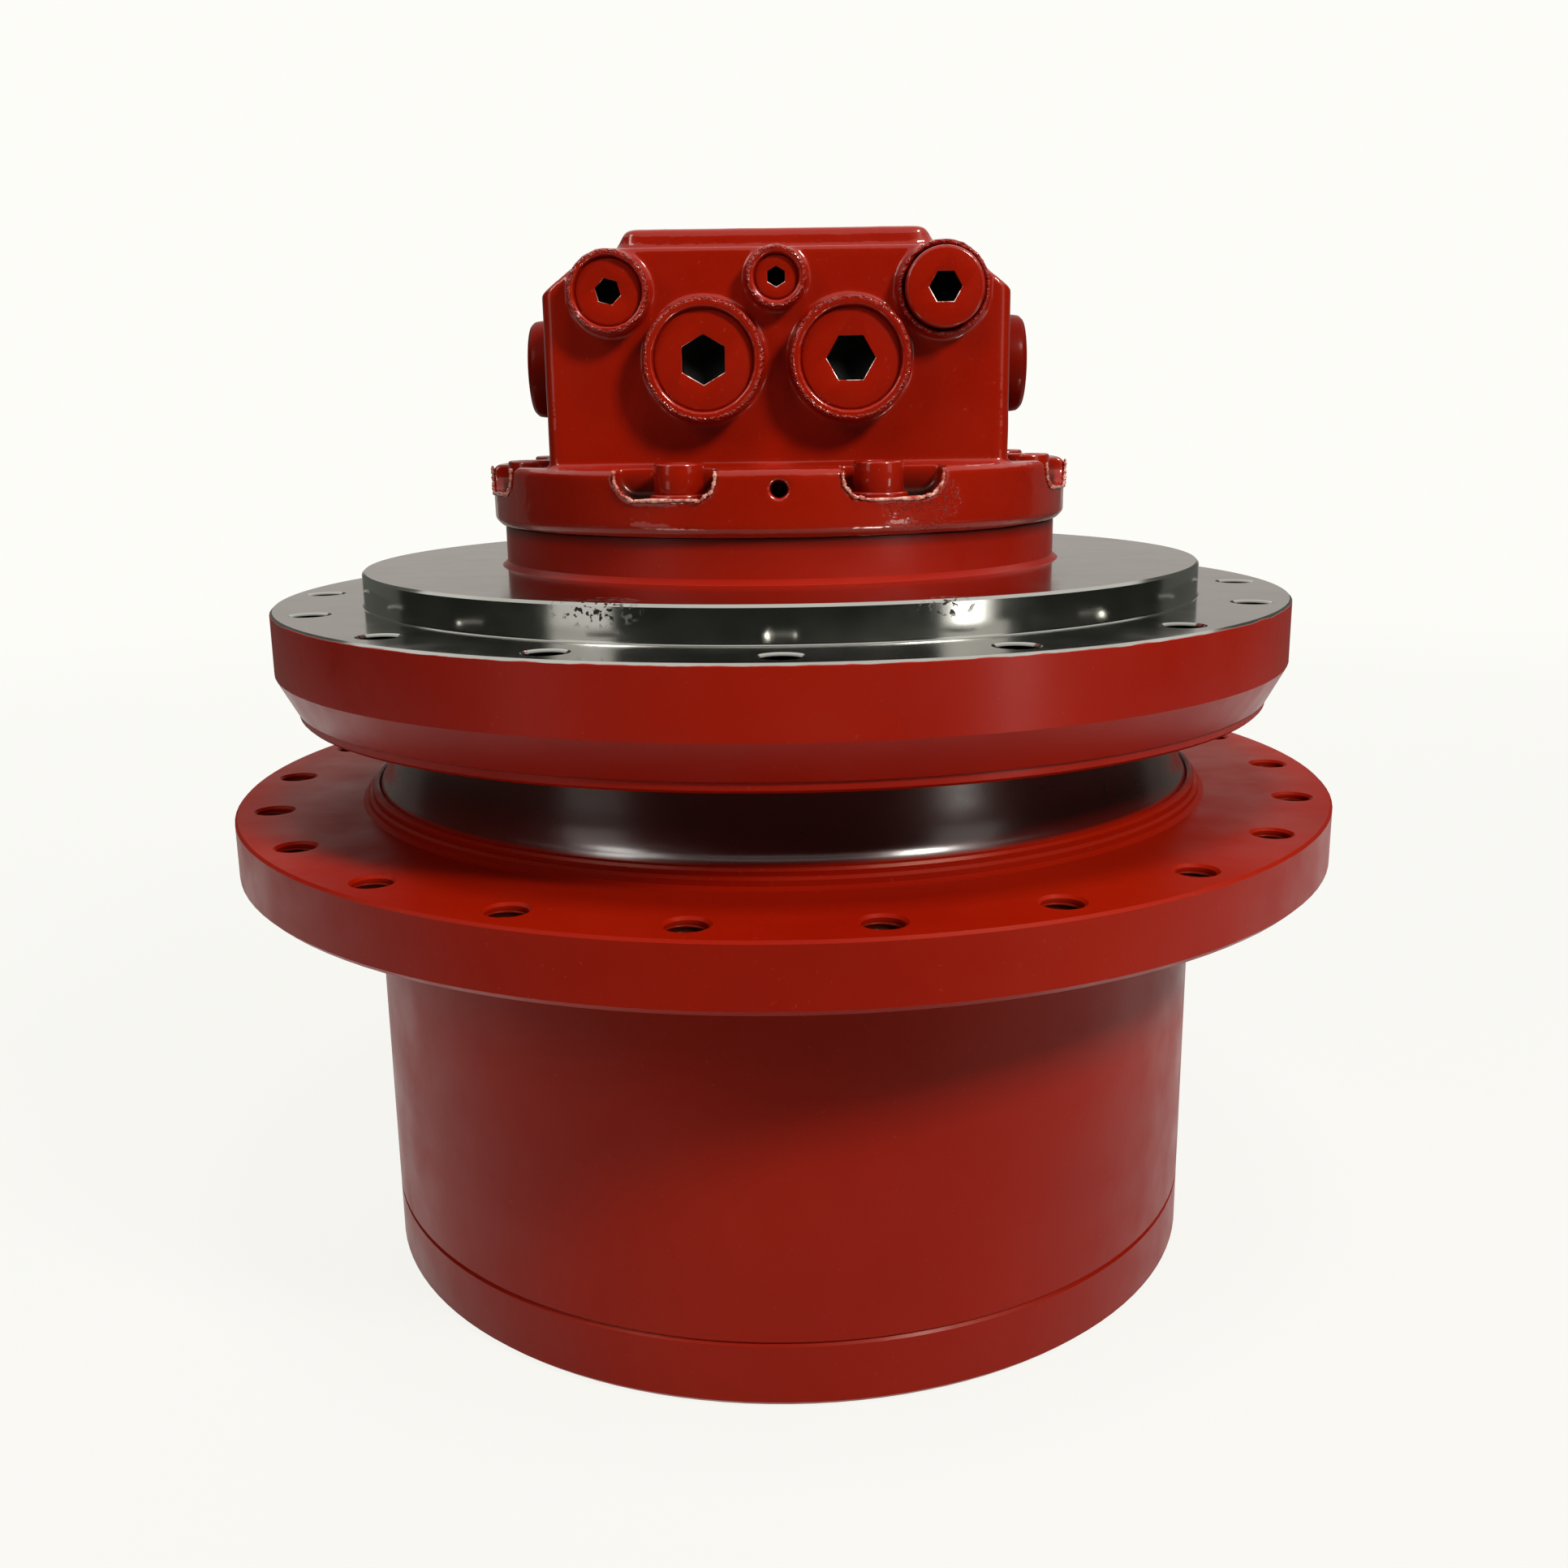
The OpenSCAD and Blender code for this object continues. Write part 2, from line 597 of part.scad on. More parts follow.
// The pad, whose sides spread towards its foot
module block_pad() {
  intersection() {
    translate([0, pad_depth / 2 - block_depth / 2 + 2 * block_corner_r, block_top_z - edge])
      linear_extrude(pad_h + edge) block_outline(pad_w + 2 * pad_slope, pad_depth, pad_corner_r);
    translate([0, block_depth, block_top_z]) rotate([90, 0, 0]) linear_extrude(2 * block_depth)
      polygon([
        [-pad_w / 2 - pad_slope, -edge], [pad_w / 2 + pad_slope, -edge],
        [pad_w / 2 + pad_slope, 0], [pad_w / 2, pad_h], [-pad_w / 2, pad_h],
        [-pad_w / 2 - pad_slope, 0]
      ]);
  }
}
module port_block() color(paint) difference() {
  union() {
    translate([0, 0, motor_z]) rotate_extrude() polygon([
      [0, 0], [motor_flange_r - 3 * edge, 0], [motor_flange_r, 3 * edge],
      [motor_flange_r, motor_flange_t - 2 * edge],
      [motor_flange_r - 2 * edge, motor_flange_t], [0, motor_flange_t]
    ]);
    translate([0, 0, motor_z - block_spigot_h])
      ring(brake_head_r - running_fit, brake_head_r - block_spigot_w, block_spigot_h + edge);
    block_body();
    block_pad();
    for (side = [-1, 1]) boss(side * main_port_gap / 2, spool_z, main_boss_d, main_boss_out);
    boss(-upper_port_x, block_z + upper_port_up, drain_boss_d, drain_out);
    boss(upper_port_x, block_z + upper_port_up, gauge_boss_d, gauge_out);
    boss(0, block_z + pilot_port_up, pilot_boss_d, pilot_out);
  }
  block_pockets();
  translate([0, 0, motor_z - over]) block_screw_places()
    cylinder(d = block_screw_d + 2 * loose_fit, h = motor_flange_t);
  // Groove of the O-ring on the spigot
  translate([0, 0, motor_z - block_spigot_h / 2 - o_ring_r])
    ring(brake_head_r + over, brake_head_r - 2 * o_ring_r, 2 * o_ring_r);
  // Rear shaft bearing pocket
  translate([0, 0, motor_z - over]) cylinder(r = rear_bearing_r, h = rear_bearing_w + over);
  translate([0, 0, motor_z]) cylinder(r = rear_relief_r, h = rear_bearing_w + 4 * edge);
  // Oil ways from the valve plate to the main ports and the spool
  for (side = [-1, 1]) {
    plug_seat(side * main_port_gap / 2, spool_z, main_boss_out, main_plug_d, main_port_r,
              block_depth / 2 + main_boss_out);
    translate([side * passage_x, 0, motor_z - over])
      cylinder(r = passage_r, h = spool_z - motor_z + over);
    // Bore of a spool cap
    translate([side * (block_w / 2 + over), 0, spool_z]) rotate([0, -side * 90, 0])
      cylinder(d = cap_thread_d + 2 * running_fit, h = cap_thread_len + over);
    // Seat of a relief valve and its way to the spool
    translate([side * relief_x, block_depth / 2 + over, spool_z]) rotate([90, 0, 0])
      cylinder(r = relief_r + running_fit, h = relief_len + over);
    translate([side * relief_x, block_depth / 2, spool_z]) rotate([90, 0, 0])
      cylinder(r = cross_r, h = block_depth / 2);
  }
  translate([-block_w / 2, 0, spool_z]) rotate([0, 90, 0])
    cylinder(d = spool_d + 2 * running_fit, h = block_w);
  plug_seat(-upper_port_x, block_z + upper_port_up, drain_out, drain_plug_d, drain_plug_d / 3,
            drain_out + block_depth / 4);
  translate([-upper_port_x, -block_depth / 4, motor_z - over])
    cylinder(r = cross_r, h = motor_flange_t + upper_port_up + over);
  front_port(upper_port_x, block_z + upper_port_up, -block_depth / 2)
    cylinder(d = gauge_plug_d + 2 * loose_fit, h = gauge_out + over);
  front_port(upper_port_x, block_z + upper_port_up, -block_depth / 2 + plug_len)
    cylinder(d = gauge_plug_d / 2, h = plug_len + gauge_out + over);
  plug_seat(0, block_z + pilot_port_up, pilot_out, pilot_plug_d, pilot_plug_d / 3,
            pilot_out + plug_len);
  // Small hole in the rim, straight ahead
  front_port(0, motor_z + side_hole_up, -motor_flange_r + side_hole_depth)
    cylinder(d = gauge_hole_d, h = side_hole_depth + over);
}
module port_block_screws() color(paint) {
  translate([0, 0, block_z - pocket_depth]) block_screw_places() {
    ring(block_washer_r, block_screw_d / 2 + loose_fit / 2, block_washer_t);
    translate([0, 0, block_washer_t])
      cap_screw(block_screw_d, motor_flange_t - pocket_depth + block_washer_t
                + block_thread_len - 2 * edge, block_screw_d);
  }
}

// Plugs that close the ports for shipping, each with a hexagon socket
key_depth_share = 0.62;
module port_plug(d, head_t, core_r, len, key) {
  difference() {
    union() {
      translate([0, 0, -head_t]) cylinder(d = d - edge, h = head_t);
      translate([0, 0, -len]) cylinder(r = core_r - running_fit, h = len - head_t / 2);
    }
    hex_key(key, key_depth_share * len);
  }
}
plug_head_t = 2;
drain_key = 8;
gauge_key = 10;
pilot_key = 6;
gauge_head_t = 11;
module main_port_plugs() color(paint) {
  for (side = [-1, 1])
    front_port(side * main_port_gap / 2, spool_z,
               -block_depth / 2 - main_boss_out + recess_depth - plug_head_t)
      rotate([0, 0, side < 0 ? 0 : 30])
        port_plug(main_plug_d, plug_head_t, main_port_r, plug_len + plug_head_t, main_key);
}
module drain_port_plug() color(paint) {
  front_port(-upper_port_x, block_z + upper_port_up,
             -block_depth / 2 - drain_out + recess_depth - plug_head_t)
    rotate([0, 0, 15])
      port_plug(drain_plug_d, plug_head_t, drain_plug_d / 3, plug_len, drain_key);
}
module gauge_port_plug() color(paint) {
  front_port(upper_port_x, block_z + upper_port_up, -block_depth / 2 - gauge_head_t)
    rotate([0, 0, 30])
      port_plug(gauge_plug_d, gauge_head_t, gauge_plug_d / 4, plug_len + gauge_head_t, gauge_key);
}
module pilot_port_plug() color(paint) {
  front_port(0, block_z + pilot_port_up, -block_depth / 2 - pilot_out + recess_depth - plug_head_t)
    port_plug(pilot_plug_d, plug_head_t, pilot_plug_d / 3, plug_len, pilot_key);
}

// Counterbalance spool across the block, with its caps and springs
cap_wall = 4;
cap_key = 12;
spool_neck_r = 8;
spool_neck_len = 15;
spring_wire_r = 1.1;
spring_turns = 7;
spring_r = 9;
spring_seat = 8;
cap_inner_x = block_w / 2 + cap_out - cap_wall - spring_seat;
module spool_cap(side) {
  translate([0, 0, spool_z]) rotate([0, side * 90, 0]) difference() {
    union() {
      translate([0, 0, block_w / 2]) cylinder(d = cap_d, h = cap_out - 3 * edge);
      translate([0, 0, block_w / 2 + cap_out - 3 * edge])
        cylinder(r1 = cap_d / 2, r2 = cap_d / 2 - 3 * edge, h = 3 * edge);
      translate([0, 0, block_w / 2 - cap_thread_len + edge])
        cylinder(d = cap_thread_d, h = cap_thread_len);
    }
    translate([0, 0, block_w / 2 - cap_thread_len])
      cylinder(r = spool_d / 2, h = cap_inner_x - block_w / 2 + cap_thread_len);
    translate([0, 0, block_w / 2 + cap_out]) hex_key(cap_key, spring_seat);
  }
}
module spool_cap_left() color(paint) spool_cap(-1);
module spool_cap_right() color(paint) spool_cap(1);
module counterbalance_spool() color(bright_steel) {
  translate([0, 0, spool_z]) rotate([0, 90, 0]) difference() {
    translate([0, 0, -spool_len / 2]) cylinder(d = spool_d, h = spool_len);
    for (side = [-1, 1]) {
      translate([0, 0, side * main_port_gap / 2 - spool_neck_len / 2])
        ring(spool_d, spool_neck_r, spool_neck_len);
      translate([0, 0, side > 0 ? spool_len / 2 - spring_seat : -spool_len / 2 - over])
        cylinder(r = spring_r + 2 * spring_wire_r, h = spring_seat + over);
    }
  }
}
// A wound spring along Z, one unbroken tube with its ends square to the axis
coil_sides = 6;
coil_steps = 12;
function coil_ring(r, wire_r, h, turns, i) =
  let (a = i * 360 / coil_steps, z = h * i / (turns * coil_steps))
  [for (s = [0:coil_sides - 1])
    let (b = s * 360 / coil_sides, out = r + wire_r * cos(b))
    [out * cos(a), out * sin(a), z + wire_r * sin(b)]];
module coil(r, wire_r, h, turns) {
  last = turns * coil_steps;
  polyhedron(
    points = [for (i = [0:last]) each coil_ring(r, wire_r, h, turns, i)],
    faces = concat(
      [for (s = [1:coil_sides - 2]) [0, s + 1, s]],
      [for (i = [0:last - 1], s = [0:coil_sides - 1]) each
        let (n = (s + 1) % coil_sides, a = i * coil_sides, b = a + coil_sides)
        [[a + s, a + n, b + n], [a + s, b + n, b + s]]],
      [for (s = [1:coil_sides - 2]) [last * coil_sides, last * coil_sides + s,
                                     last * coil_sides + s + 1]]));
}
spring_x = spool_len / 2 - spring_seat + spring_wire_r + face_gap / 2;
spring_len = cap_inner_x - spring_x - spring_wire_r - face_gap / 2;
module spool_springs() color(dark_steel) {
  for (side = [-1, 1]) translate([0, 0, spool_z]) rotate([0, side * 90, 0])
    translate([0, 0, spring_x]) coil(spring_r, spring_wire_r, spring_len, spring_turns);
}
// Crossover relief valves in the back of the block
module relief_valves() color(paint) {
  for (side = [-1, 1])
    translate([side * relief_x, block_depth / 2, spool_z]) rotate([-90, 0, 0]) {
      cylinder(r = relief_head_r, h = relief_head_t, $fn = 6);
      translate([0, 0, relief_head_t - edge]) cylinder(r = relief_r, h = 3 * edge);
      translate([0, 0, -relief_len + 4 * edge]) cylinder(r = relief_r, h = relief_len);
    }
}

// Valve plate, which feeds the pistons through two kidney slots
kidney_w = 9;
kidney_span = 130;
module valve_plate() color(bronze) translate([0, 0, valve_z]) difference() {
  ring(valve_plate_r, shaft_r, valve_plate_t);
  for (half = [0, 180]) rotate([0, 0, half - kidney_span / 2])
    rotate_extrude(angle = kidney_span)
      translate([piston_pcd / 2 - kidney_w / 2, -over]) square([kidney_w, valve_plate_t + 2 * over]);
}
module cylinder_block() color(cast_iron) difference() {
  union() {
    translate([0, 0, cylinder_z]) cylinder(d = cylinder_d, h = cylinder_top_z - cylinder_z);
    translate([0, 0, brake_z - edge])
      lugs(brake_lugs, cylinder_d / 2 - over, cylinder_d / 2 + lug_depth, stack_h + 2 * edge, 0);
  }
  translate([0, 0, cylinder_z - over])
    cylinder(r = shaft_r + edge / 2, h = cylinder_top_z - cylinder_z + 2 * over);
  translate([0, 0, cylinder_z - over]) lugs(spline_teeth, shaft_r, spline_r + running_fit,
                                            spline_len + over, running_fit);
  translate([0, 0, cylinder_z + spline_len]) cylinder(r = block_spring_r + edge,
    h = cylinder_top_z - cylinder_z - spline_len - 3 * edge);
  on_circle(pistons_n, piston_pcd / 2, planet_start) {
    translate([0, 0, cylinder_z - over])
      cylinder(r = piston_d / 2 + running_fit,
               h = cylinder_top_z - cylinder_z - piston_room + over);
    translate([0, 0, cylinder_z]) cylinder(r = kidney_w / 2, h = cylinder_top_z - cylinder_z + over);
  }
}
module pistons() color(bright_steel) {
  on_circle(pistons_n, piston_pcd / 2, planet_start) difference() {
    translate([0, 0, piston_z]) cylinder(d = piston_d, h = piston_top_z - piston_z);
    translate([0, 0, ball_z]) sphere(r = ball_r + running_fit);
    translate([0, 0, piston_z - over]) cylinder(r = ball_r - edge / 2, h = shoe_t + over);
    translate([0, 0, ball_z]) cylinder(r = ball_r / 2, h = piston_top_z - ball_z + over);
  }
}
module piston_shoes() color(bronze) {
  on_circle(pistons_n, piston_pcd / 2, planet_start) {
    translate([0, 0, shoe_z + running_fit]) cylinder(r = shoe_r, h = shoe_t - 2 * running_fit);
    translate([0, 0, shoe_z + shoe_t / 2]) cylinder(r = ball_r - 2 * edge, h = ball_z - shoe_z - shoe_t);
    translate([0, 0, ball_z]) sphere(r = ball_r);
  }
}
module retainer_plate() color(bare_steel) difference() {
  translate([0, 0, retainer_z]) ring(piston_pcd / 2 + shoe_r, shaft_r + 4 * edge, retainer_t);
  on_circle(pistons_n, piston_pcd / 2, planet_start)
    translate([0, 0, retainer_z - over]) cylinder(r = ball_r + edge, h = retainer_t + 2 * over);
}
// Cup springs in the cylinder block, which hold it to the valve plate
block_spring_r = 26;
block_spring_t = 1.5;
block_cups = 4;
cup_rise = 1.1;
module cup_spring(r_out, r_in, t, rise) {
  rotate_extrude() polygon([[r_in, rise], [r_out, 0], [r_out, t], [r_in, t + rise]]);
}
module block_springs() color(dark_steel) {
  pitch = block_spring_t + cup_rise + edge / 4;
  base = cylinder_z + spline_len + edge / 2;
  for (i = [0:block_cups - 1]) translate([0, 0, base + 2 * i * pitch]) {
    cup_spring(block_spring_r, shaft_r + edge, block_spring_t, cup_rise);
    translate([0, 0, 2 * (block_spring_t + cup_rise) + edge / 4]) mirror([0, 0, 1])
      cup_spring(block_spring_r, shaft_r + edge, block_spring_t, cup_rise);
  }
}

// Swash plate on its two half-ball pivots, and the piston that tips it
swash_hole_r = 30;
module swash_plate() color(bright_steel) difference() {
  translate([0, 0, swash_z]) ring(swash_d / 2, swash_hole_r, swash_t);
  pivot_places() sphere(r = pivot_r + running_fit);
}
module swash_pivots() color(dark_steel) {
  pivot_places() sphere(r = pivot_r);
}
module control_piston() color(bright_steel) {
  translate([0, control_y, swash_z - face_gap - control_len])
    cylinder(r = control_r, h = control_len);
}

// Drive shaft, splined to the cylinder block and to the first sun gear
socket_r = 12.5;
socket_len = 26;
shaft_nose = 10;
shaft_low_z = spindle_end_z - shaft_nose;
shaft_top_z = motor_z + rear_bearing_w;
sun_spline_teeth = 10;
module drive_shaft() color(bright_steel) difference() {
  union() {
    translate([0, 0, shaft_low_z]) cylinder(r = shaft_r, h = cylinder_top_z - shaft_low_z);
    translate([0, 0, cylinder_z]) lugs(spline_teeth, shaft_r - over, spline_r,
                                       spline_len - edge, -running_fit);
    translate([0, 0, shaft_bearing_z + shaft_bearing_w]) cylinder(r = shaft_r + 3 * edge,
                                                                  h = swash_lift);
    translate([0, 0, cylinder_top_z - over])
      cylinder(r = rear_journal_r, h = shaft_top_z - cylinder_top_z + over);
  }
  translate([0, 0, shaft_low_z - over])
    cylinder(r = socket_r - 2 * edge, h = socket_len + over);
  translate([0, 0, shaft_low_z - over])
    lugs(sun_spline_teeth, socket_r - 3 * edge, socket_r, socket_len + over, running_fit);
}
// Ball bearings of the shaft: the front one below the swash plate
front_pitch_r = (shaft_r + shaft_bearing_r) / 2;
rear_pitch_r = (rear_journal_r + rear_bearing_r) / 2;
ball_share = 0.2;
front_ball_r = ball_share * front_pitch_r;
rear_ball_r = ball_share * rear_pitch_r;
land_share = 0.6;
shaft_balls = 12;
module outer_race(r, w, pitch_r, b) {
  difference() {
    ring(r - running_fit, pitch_r + land_share * b, w);
    translate([0, 0, w / 2]) rotate_extrude() translate([pitch_r, 0]) circle(r = b + roll_gap);
  }
}
module inner_race(r, w, pitch_r, b) {
  difference() {
    ring(pitch_r - land_share * b, r, w);
    translate([0, 0, w / 2]) rotate_extrude() translate([pitch_r, 0]) circle(r = b + roll_gap);
  }
}
module shaft_outer_races() color(bright_steel) {
  translate([0, 0, shaft_bearing_z])
    outer_race(shaft_bearing_r, shaft_bearing_w, front_pitch_r, front_ball_r);
  translate([0, 0, motor_z]) outer_race(rear_bearing_r, rear_bearing_w, rear_pitch_r, rear_ball_r);
}
module shaft_inner_races() color(bright_steel) {
  translate([0, 0, shaft_bearing_z])
    inner_race(shaft_r + running_fit, shaft_bearing_w - running_fit, front_pitch_r, front_ball_r);
  translate([0, 0, motor_z])
    inner_race(rear_journal_r + running_fit, rear_bearing_w, rear_pitch_r, rear_ball_r);
}
module shaft_bearing_balls() color(bright_steel) {
  translate([0, 0, shaft_bearing_z + shaft_bearing_w / 2])
    on_circle(shaft_balls, front_pitch_r, 0) sphere(r = front_ball_r);
  translate([0, 0, motor_z + rear_bearing_w / 2])
    on_circle(shaft_balls, rear_pitch_r, 0) sphere(r = rear_ball_r);
}
module shaft_seal() color(rubber) {
  translate([0, 0, spindle_end_z + edge / 2])
    ring(seal_seat_r - running_fit, shaft_r + running_fit, seal_seat_h - edge);
}

// Parking brake: springs press the piston down on the plates
module brake_steel_plates() color(dark_steel) {
  for (i = [0:brake_discs]) translate([0, 0, brake_z + i * 2 * (plate_t + plate_gap)])
    difference() {
      union() {
        cylinder(r = brake_bore_r - loose_fit, h = plate_t);
        lugs(brake_lugs, brake_bore_r - over, brake_groove_r - loose_fit, plate_t, 0);
      }
      translate([0, 0, -over]) cylinder(r = plate_inner_r, h = plate_t + 2 * over);
    }
}
module brake_friction_discs() color(bronze) {
  for (i = [0:brake_discs - 1])
    translate([0, 0, brake_z + (2 * i + 1) * (plate_t + plate_gap)]) difference() {
      cylinder(r = disc_outer_r, h = plate_t);
      translate([0, 0, -over]) cylinder(r = cylinder_d / 2 + loose_fit / 2, h = plate_t + 2 * over);
      translate([0, 0, -over]) lugs(brake_lugs, cylinder_d / 2 - over,
        cylinder_d / 2 + lug_depth + loose_fit / 2, plate_t + 2 * over, loose_fit / 2);
    }
}
module brake_piston() color(dark_steel) {
  translate([0, 0, brake_piston_z]) difference() {
    union() {
      cylinder(r = brake_bore_r - running_fit, h = brake_piston_h - edge);
      translate([0, 0, brake_step_h])
        cylinder(r = brake_head_r - running_fit, h = brake_piston_h - brake_step_h);
    }
    translate([0, 0, -over]) cylinder(r = brake_inner_r, h = brake_piston_h + 2 * over);
  }
}
module brake_springs() color(dark_steel) {
  rise = (brake_spring_h - 2 * brake_spring_t) / 2 - face_gap;
  translate([0, 0, brake_spring_z + face_gap / 2]) {
    cup_spring(brake_head_r - 2 * edge, brake_inner_r + 3 * edge, brake_spring_t, rise);
    translate([0, 0, brake_spring_h - face_gap]) mirror([0, 0, 1])
      cup_spring(brake_head_r - 2 * edge, brake_inner_r + 3 * edge, brake_spring_t, rise);
  }
}

// Main bearings between the spindle and the hub
module main_races(z_list, outer) {
  for (z = z_list) translate([0, 0, z]) difference() {
    if (outer) ring(main_outer_r, main_pitch_r + race_gap / 2, main_bearing_w);
    else ring(main_pitch_r - race_gap / 2, main_bore_r, main_bearing_w);
    translate([0, 0, main_bearing_w / 2]) rotate_extrude() translate([main_pitch_r, 0])
      circle(r = main_ball_r + roll_gap);
  }
}
module main_inner_races() color(bright_steel) main_races([upper_z, lower_z], false);
module main_outer_races() color(bright_steel) main_races([upper_z, lower_z], true);
cage_t = 3;
cage_w = 12;
module ball_set(z) {
  translate([0, 0, z + main_bearing_w / 2]) {
    on_circle(main_balls, main_pitch_r, 0) sphere(r = main_ball_r);
    difference() {
      translate([0, 0, -cage_w / 2])
        ring(main_pitch_r + cage_t / 2, main_pitch_r - cage_t / 2, cage_w);
      on_circle(main_balls, main_pitch_r, 0) sphere(r = main_ball_r + running_fit);
    }
  }
}
module upper_balls() color(bronze) ball_set(upper_z);
module lower_balls() color(bronze) ball_set(lower_z);

// Floating face seal: two lapped rings, each carried on a fat O-ring
seal_mid_z = neck_top_z + neck_gap / 2;
seal_ring_in = 132;
seal_ring_body = 7;
fat_o_ring_up = 9.7;
seal_foot = 3;
module seal_half() {
  rotate_extrude() polygon([
    [seal_ring_in, running_fit], [seal_ring_in + seal_ring_w, running_fit],
    [seal_ring_in + seal_ring_w, seal_foot], [seal_ring_in + seal_ring_body, 2 * seal_foot],
    [seal_ring_in + seal_ring_body, seal_ring_w], [seal_ring_in, seal_ring_w]
  ]);
}
module seal_o_ring() {
  inner_r = seal_ring_in + seal_ring_body;
  rotate_extrude() translate([(seal_pocket_r + inner_r) / 2, fat_o_ring_up])
    circle(r = (seal_pocket_r - inner_r) / 2 - running_fit);
}
module seal_ring_fixed() color(bare_steel) translate([0, 0, seal_mid_z]) seal_half();
module seal_ring_turning() color(bare_steel)
  translate([0, 0, seal_mid_z]) mirror([0, 0, 1]) seal_half();

// O-rings: a fat one behind each lapped ring, one round the port block's
// spigot and one round the end cover's
module spindle_o_rings() color(rubber) {
  translate([0, 0, seal_mid_z]) seal_o_ring();
  translate([0, 0, motor_z - block_spigot_h / 2]) rotate_extrude()
    translate([brake_head_r - o_ring_r, 0]) circle(r = o_ring_r - running_fit);
}
module hub_o_rings() color(rubber) {
  translate([0, 0, seal_mid_z]) mirror([0, 0, 1]) seal_o_ring();
  translate([0, 0, seam_z + cover_spigot_h / 2]) rotate_extrude()
    translate([cover_spigot_r - cover_o_ring_r, 0]) circle(r = cover_o_ring_r - running_fit);
}

// Hub: barrel with both ring gears, seats of the main bearings and neck. Its
// flange, which is one casting with it, is a solid of its own that rests on
// the barrel's shoulder.
cover_screws_n = 16;
cover_screw_d = 10;
cover_screw_pcr = 161;
cover_thread_len = 22;
hub_step_w = 5.5;
bearing_lip = 7;
module hub() color(paint) difference() {
  rotate_extrude() polygon([
    [cover_spigot_r, seam_z], [barrel_r - edge, seam_z], [barrel_r, seam_z + edge],
    [barrel_r, hub_flange_z], [barrel_r - 2 * edge, hub_flange_z + 2 * edge],
    [hub_step_d / 2 - hub_step_w, hub_flange_z + 2 * edge],
    [hub_step_d / 2 - hub_step_w, hub_top_z + 2 * hub_step_h - 2 * edge],
    [neck_foot_d / 2 + edge, hub_top_z + 2 * hub_step_h - edge],
    [neck_foot_d / 2, hub_top_z + 2 * hub_step_h],
    [neck_foot_d / 2 - neck_taper, neck_top_z - edge],
    [neck_foot_d / 2 - neck_taper - edge, neck_top_z],
    [seal_pocket_r + running_fit, neck_top_z], [seal_pocket_r + running_fit, seal_floor_z],
    [main_outer_r + running_fit, seal_floor_z], [main_outer_r + running_fit, upper_z],
    [main_outer_r - bearing_lip, upper_z], [main_outer_r - bearing_lip, lower_top_z],
    [main_outer_r + running_fit, lower_top_z], [main_outer_r + running_fit, lower_z - edge],
    [ring_relief_r, lower_z - edge], [ring_relief_r, ring2_z + ring2_w],
    [arm2_r, ring2_z + ring2_w], [arm2_r, ring2_z], [ring_relief_r, ring2_z],
    [ring_relief_r, ring1_z + ring1_w], [arm1_r, ring1_z + ring1_w], [arm1_r, ring1_z],
    [cover_spigot_r, ring1_z]
  ]);
  translate([0, 0, ring1_z - over])
    ring_space(ring1_teeth, stage1_m, ring1_w + 2 * over, planet_start);
  translate([0, 0, ring2_z - over])
    ring_space(ring2_teeth, stage2_m, ring2_w + 2 * over, planet_start + 180 / ring2_teeth);
  translate([0, 0, seam_z + cover_thread_len]) mirror([0, 0, 1])
    on_circle(cover_screws_n, cover_screw_pcr, 0)
      translate([0, 0, cover_thread_len]) tapped_hole(cover_screw_d, cover_thread_len + edge);
}
module hub_flange() color(paint) difference() {
  rotate_extrude() polygon([
    [barrel_r + running_fit, hub_flange_z], [hub_flange_r - 2 * edge, hub_flange_z],
    [hub_flange_r, hub_flange_z + 2 * edge],
    [hub_flange_r, hub_top_z - edge], [hub_flange_r - edge, hub_top_z],
    [hub_step_d / 2 + 2 * edge, hub_top_z], [hub_step_d / 2, hub_top_z + edge],
    [hub_step_d / 2, hub_top_z + hub_step_h - edge],
    [hub_step_d / 2 - edge, hub_top_z + hub_step_h],
    [hub_step_d / 2 - hub_step_w + running_fit, hub_top_z + hub_step_h],
    [hub_step_d / 2 - hub_step_w + running_fit, hub_flange_z + 2 * edge],
    [barrel_r + running_fit - 2 * edge, hub_flange_z + 2 * edge]
  ]);
  translate([0, 0, hub_top_z]) on_circle(hub_holes, hub_pcd / 2, -planet_start + 180 / hub_holes)
    tapped_hole(mount_thread_d, hub_flange_t + over);
}

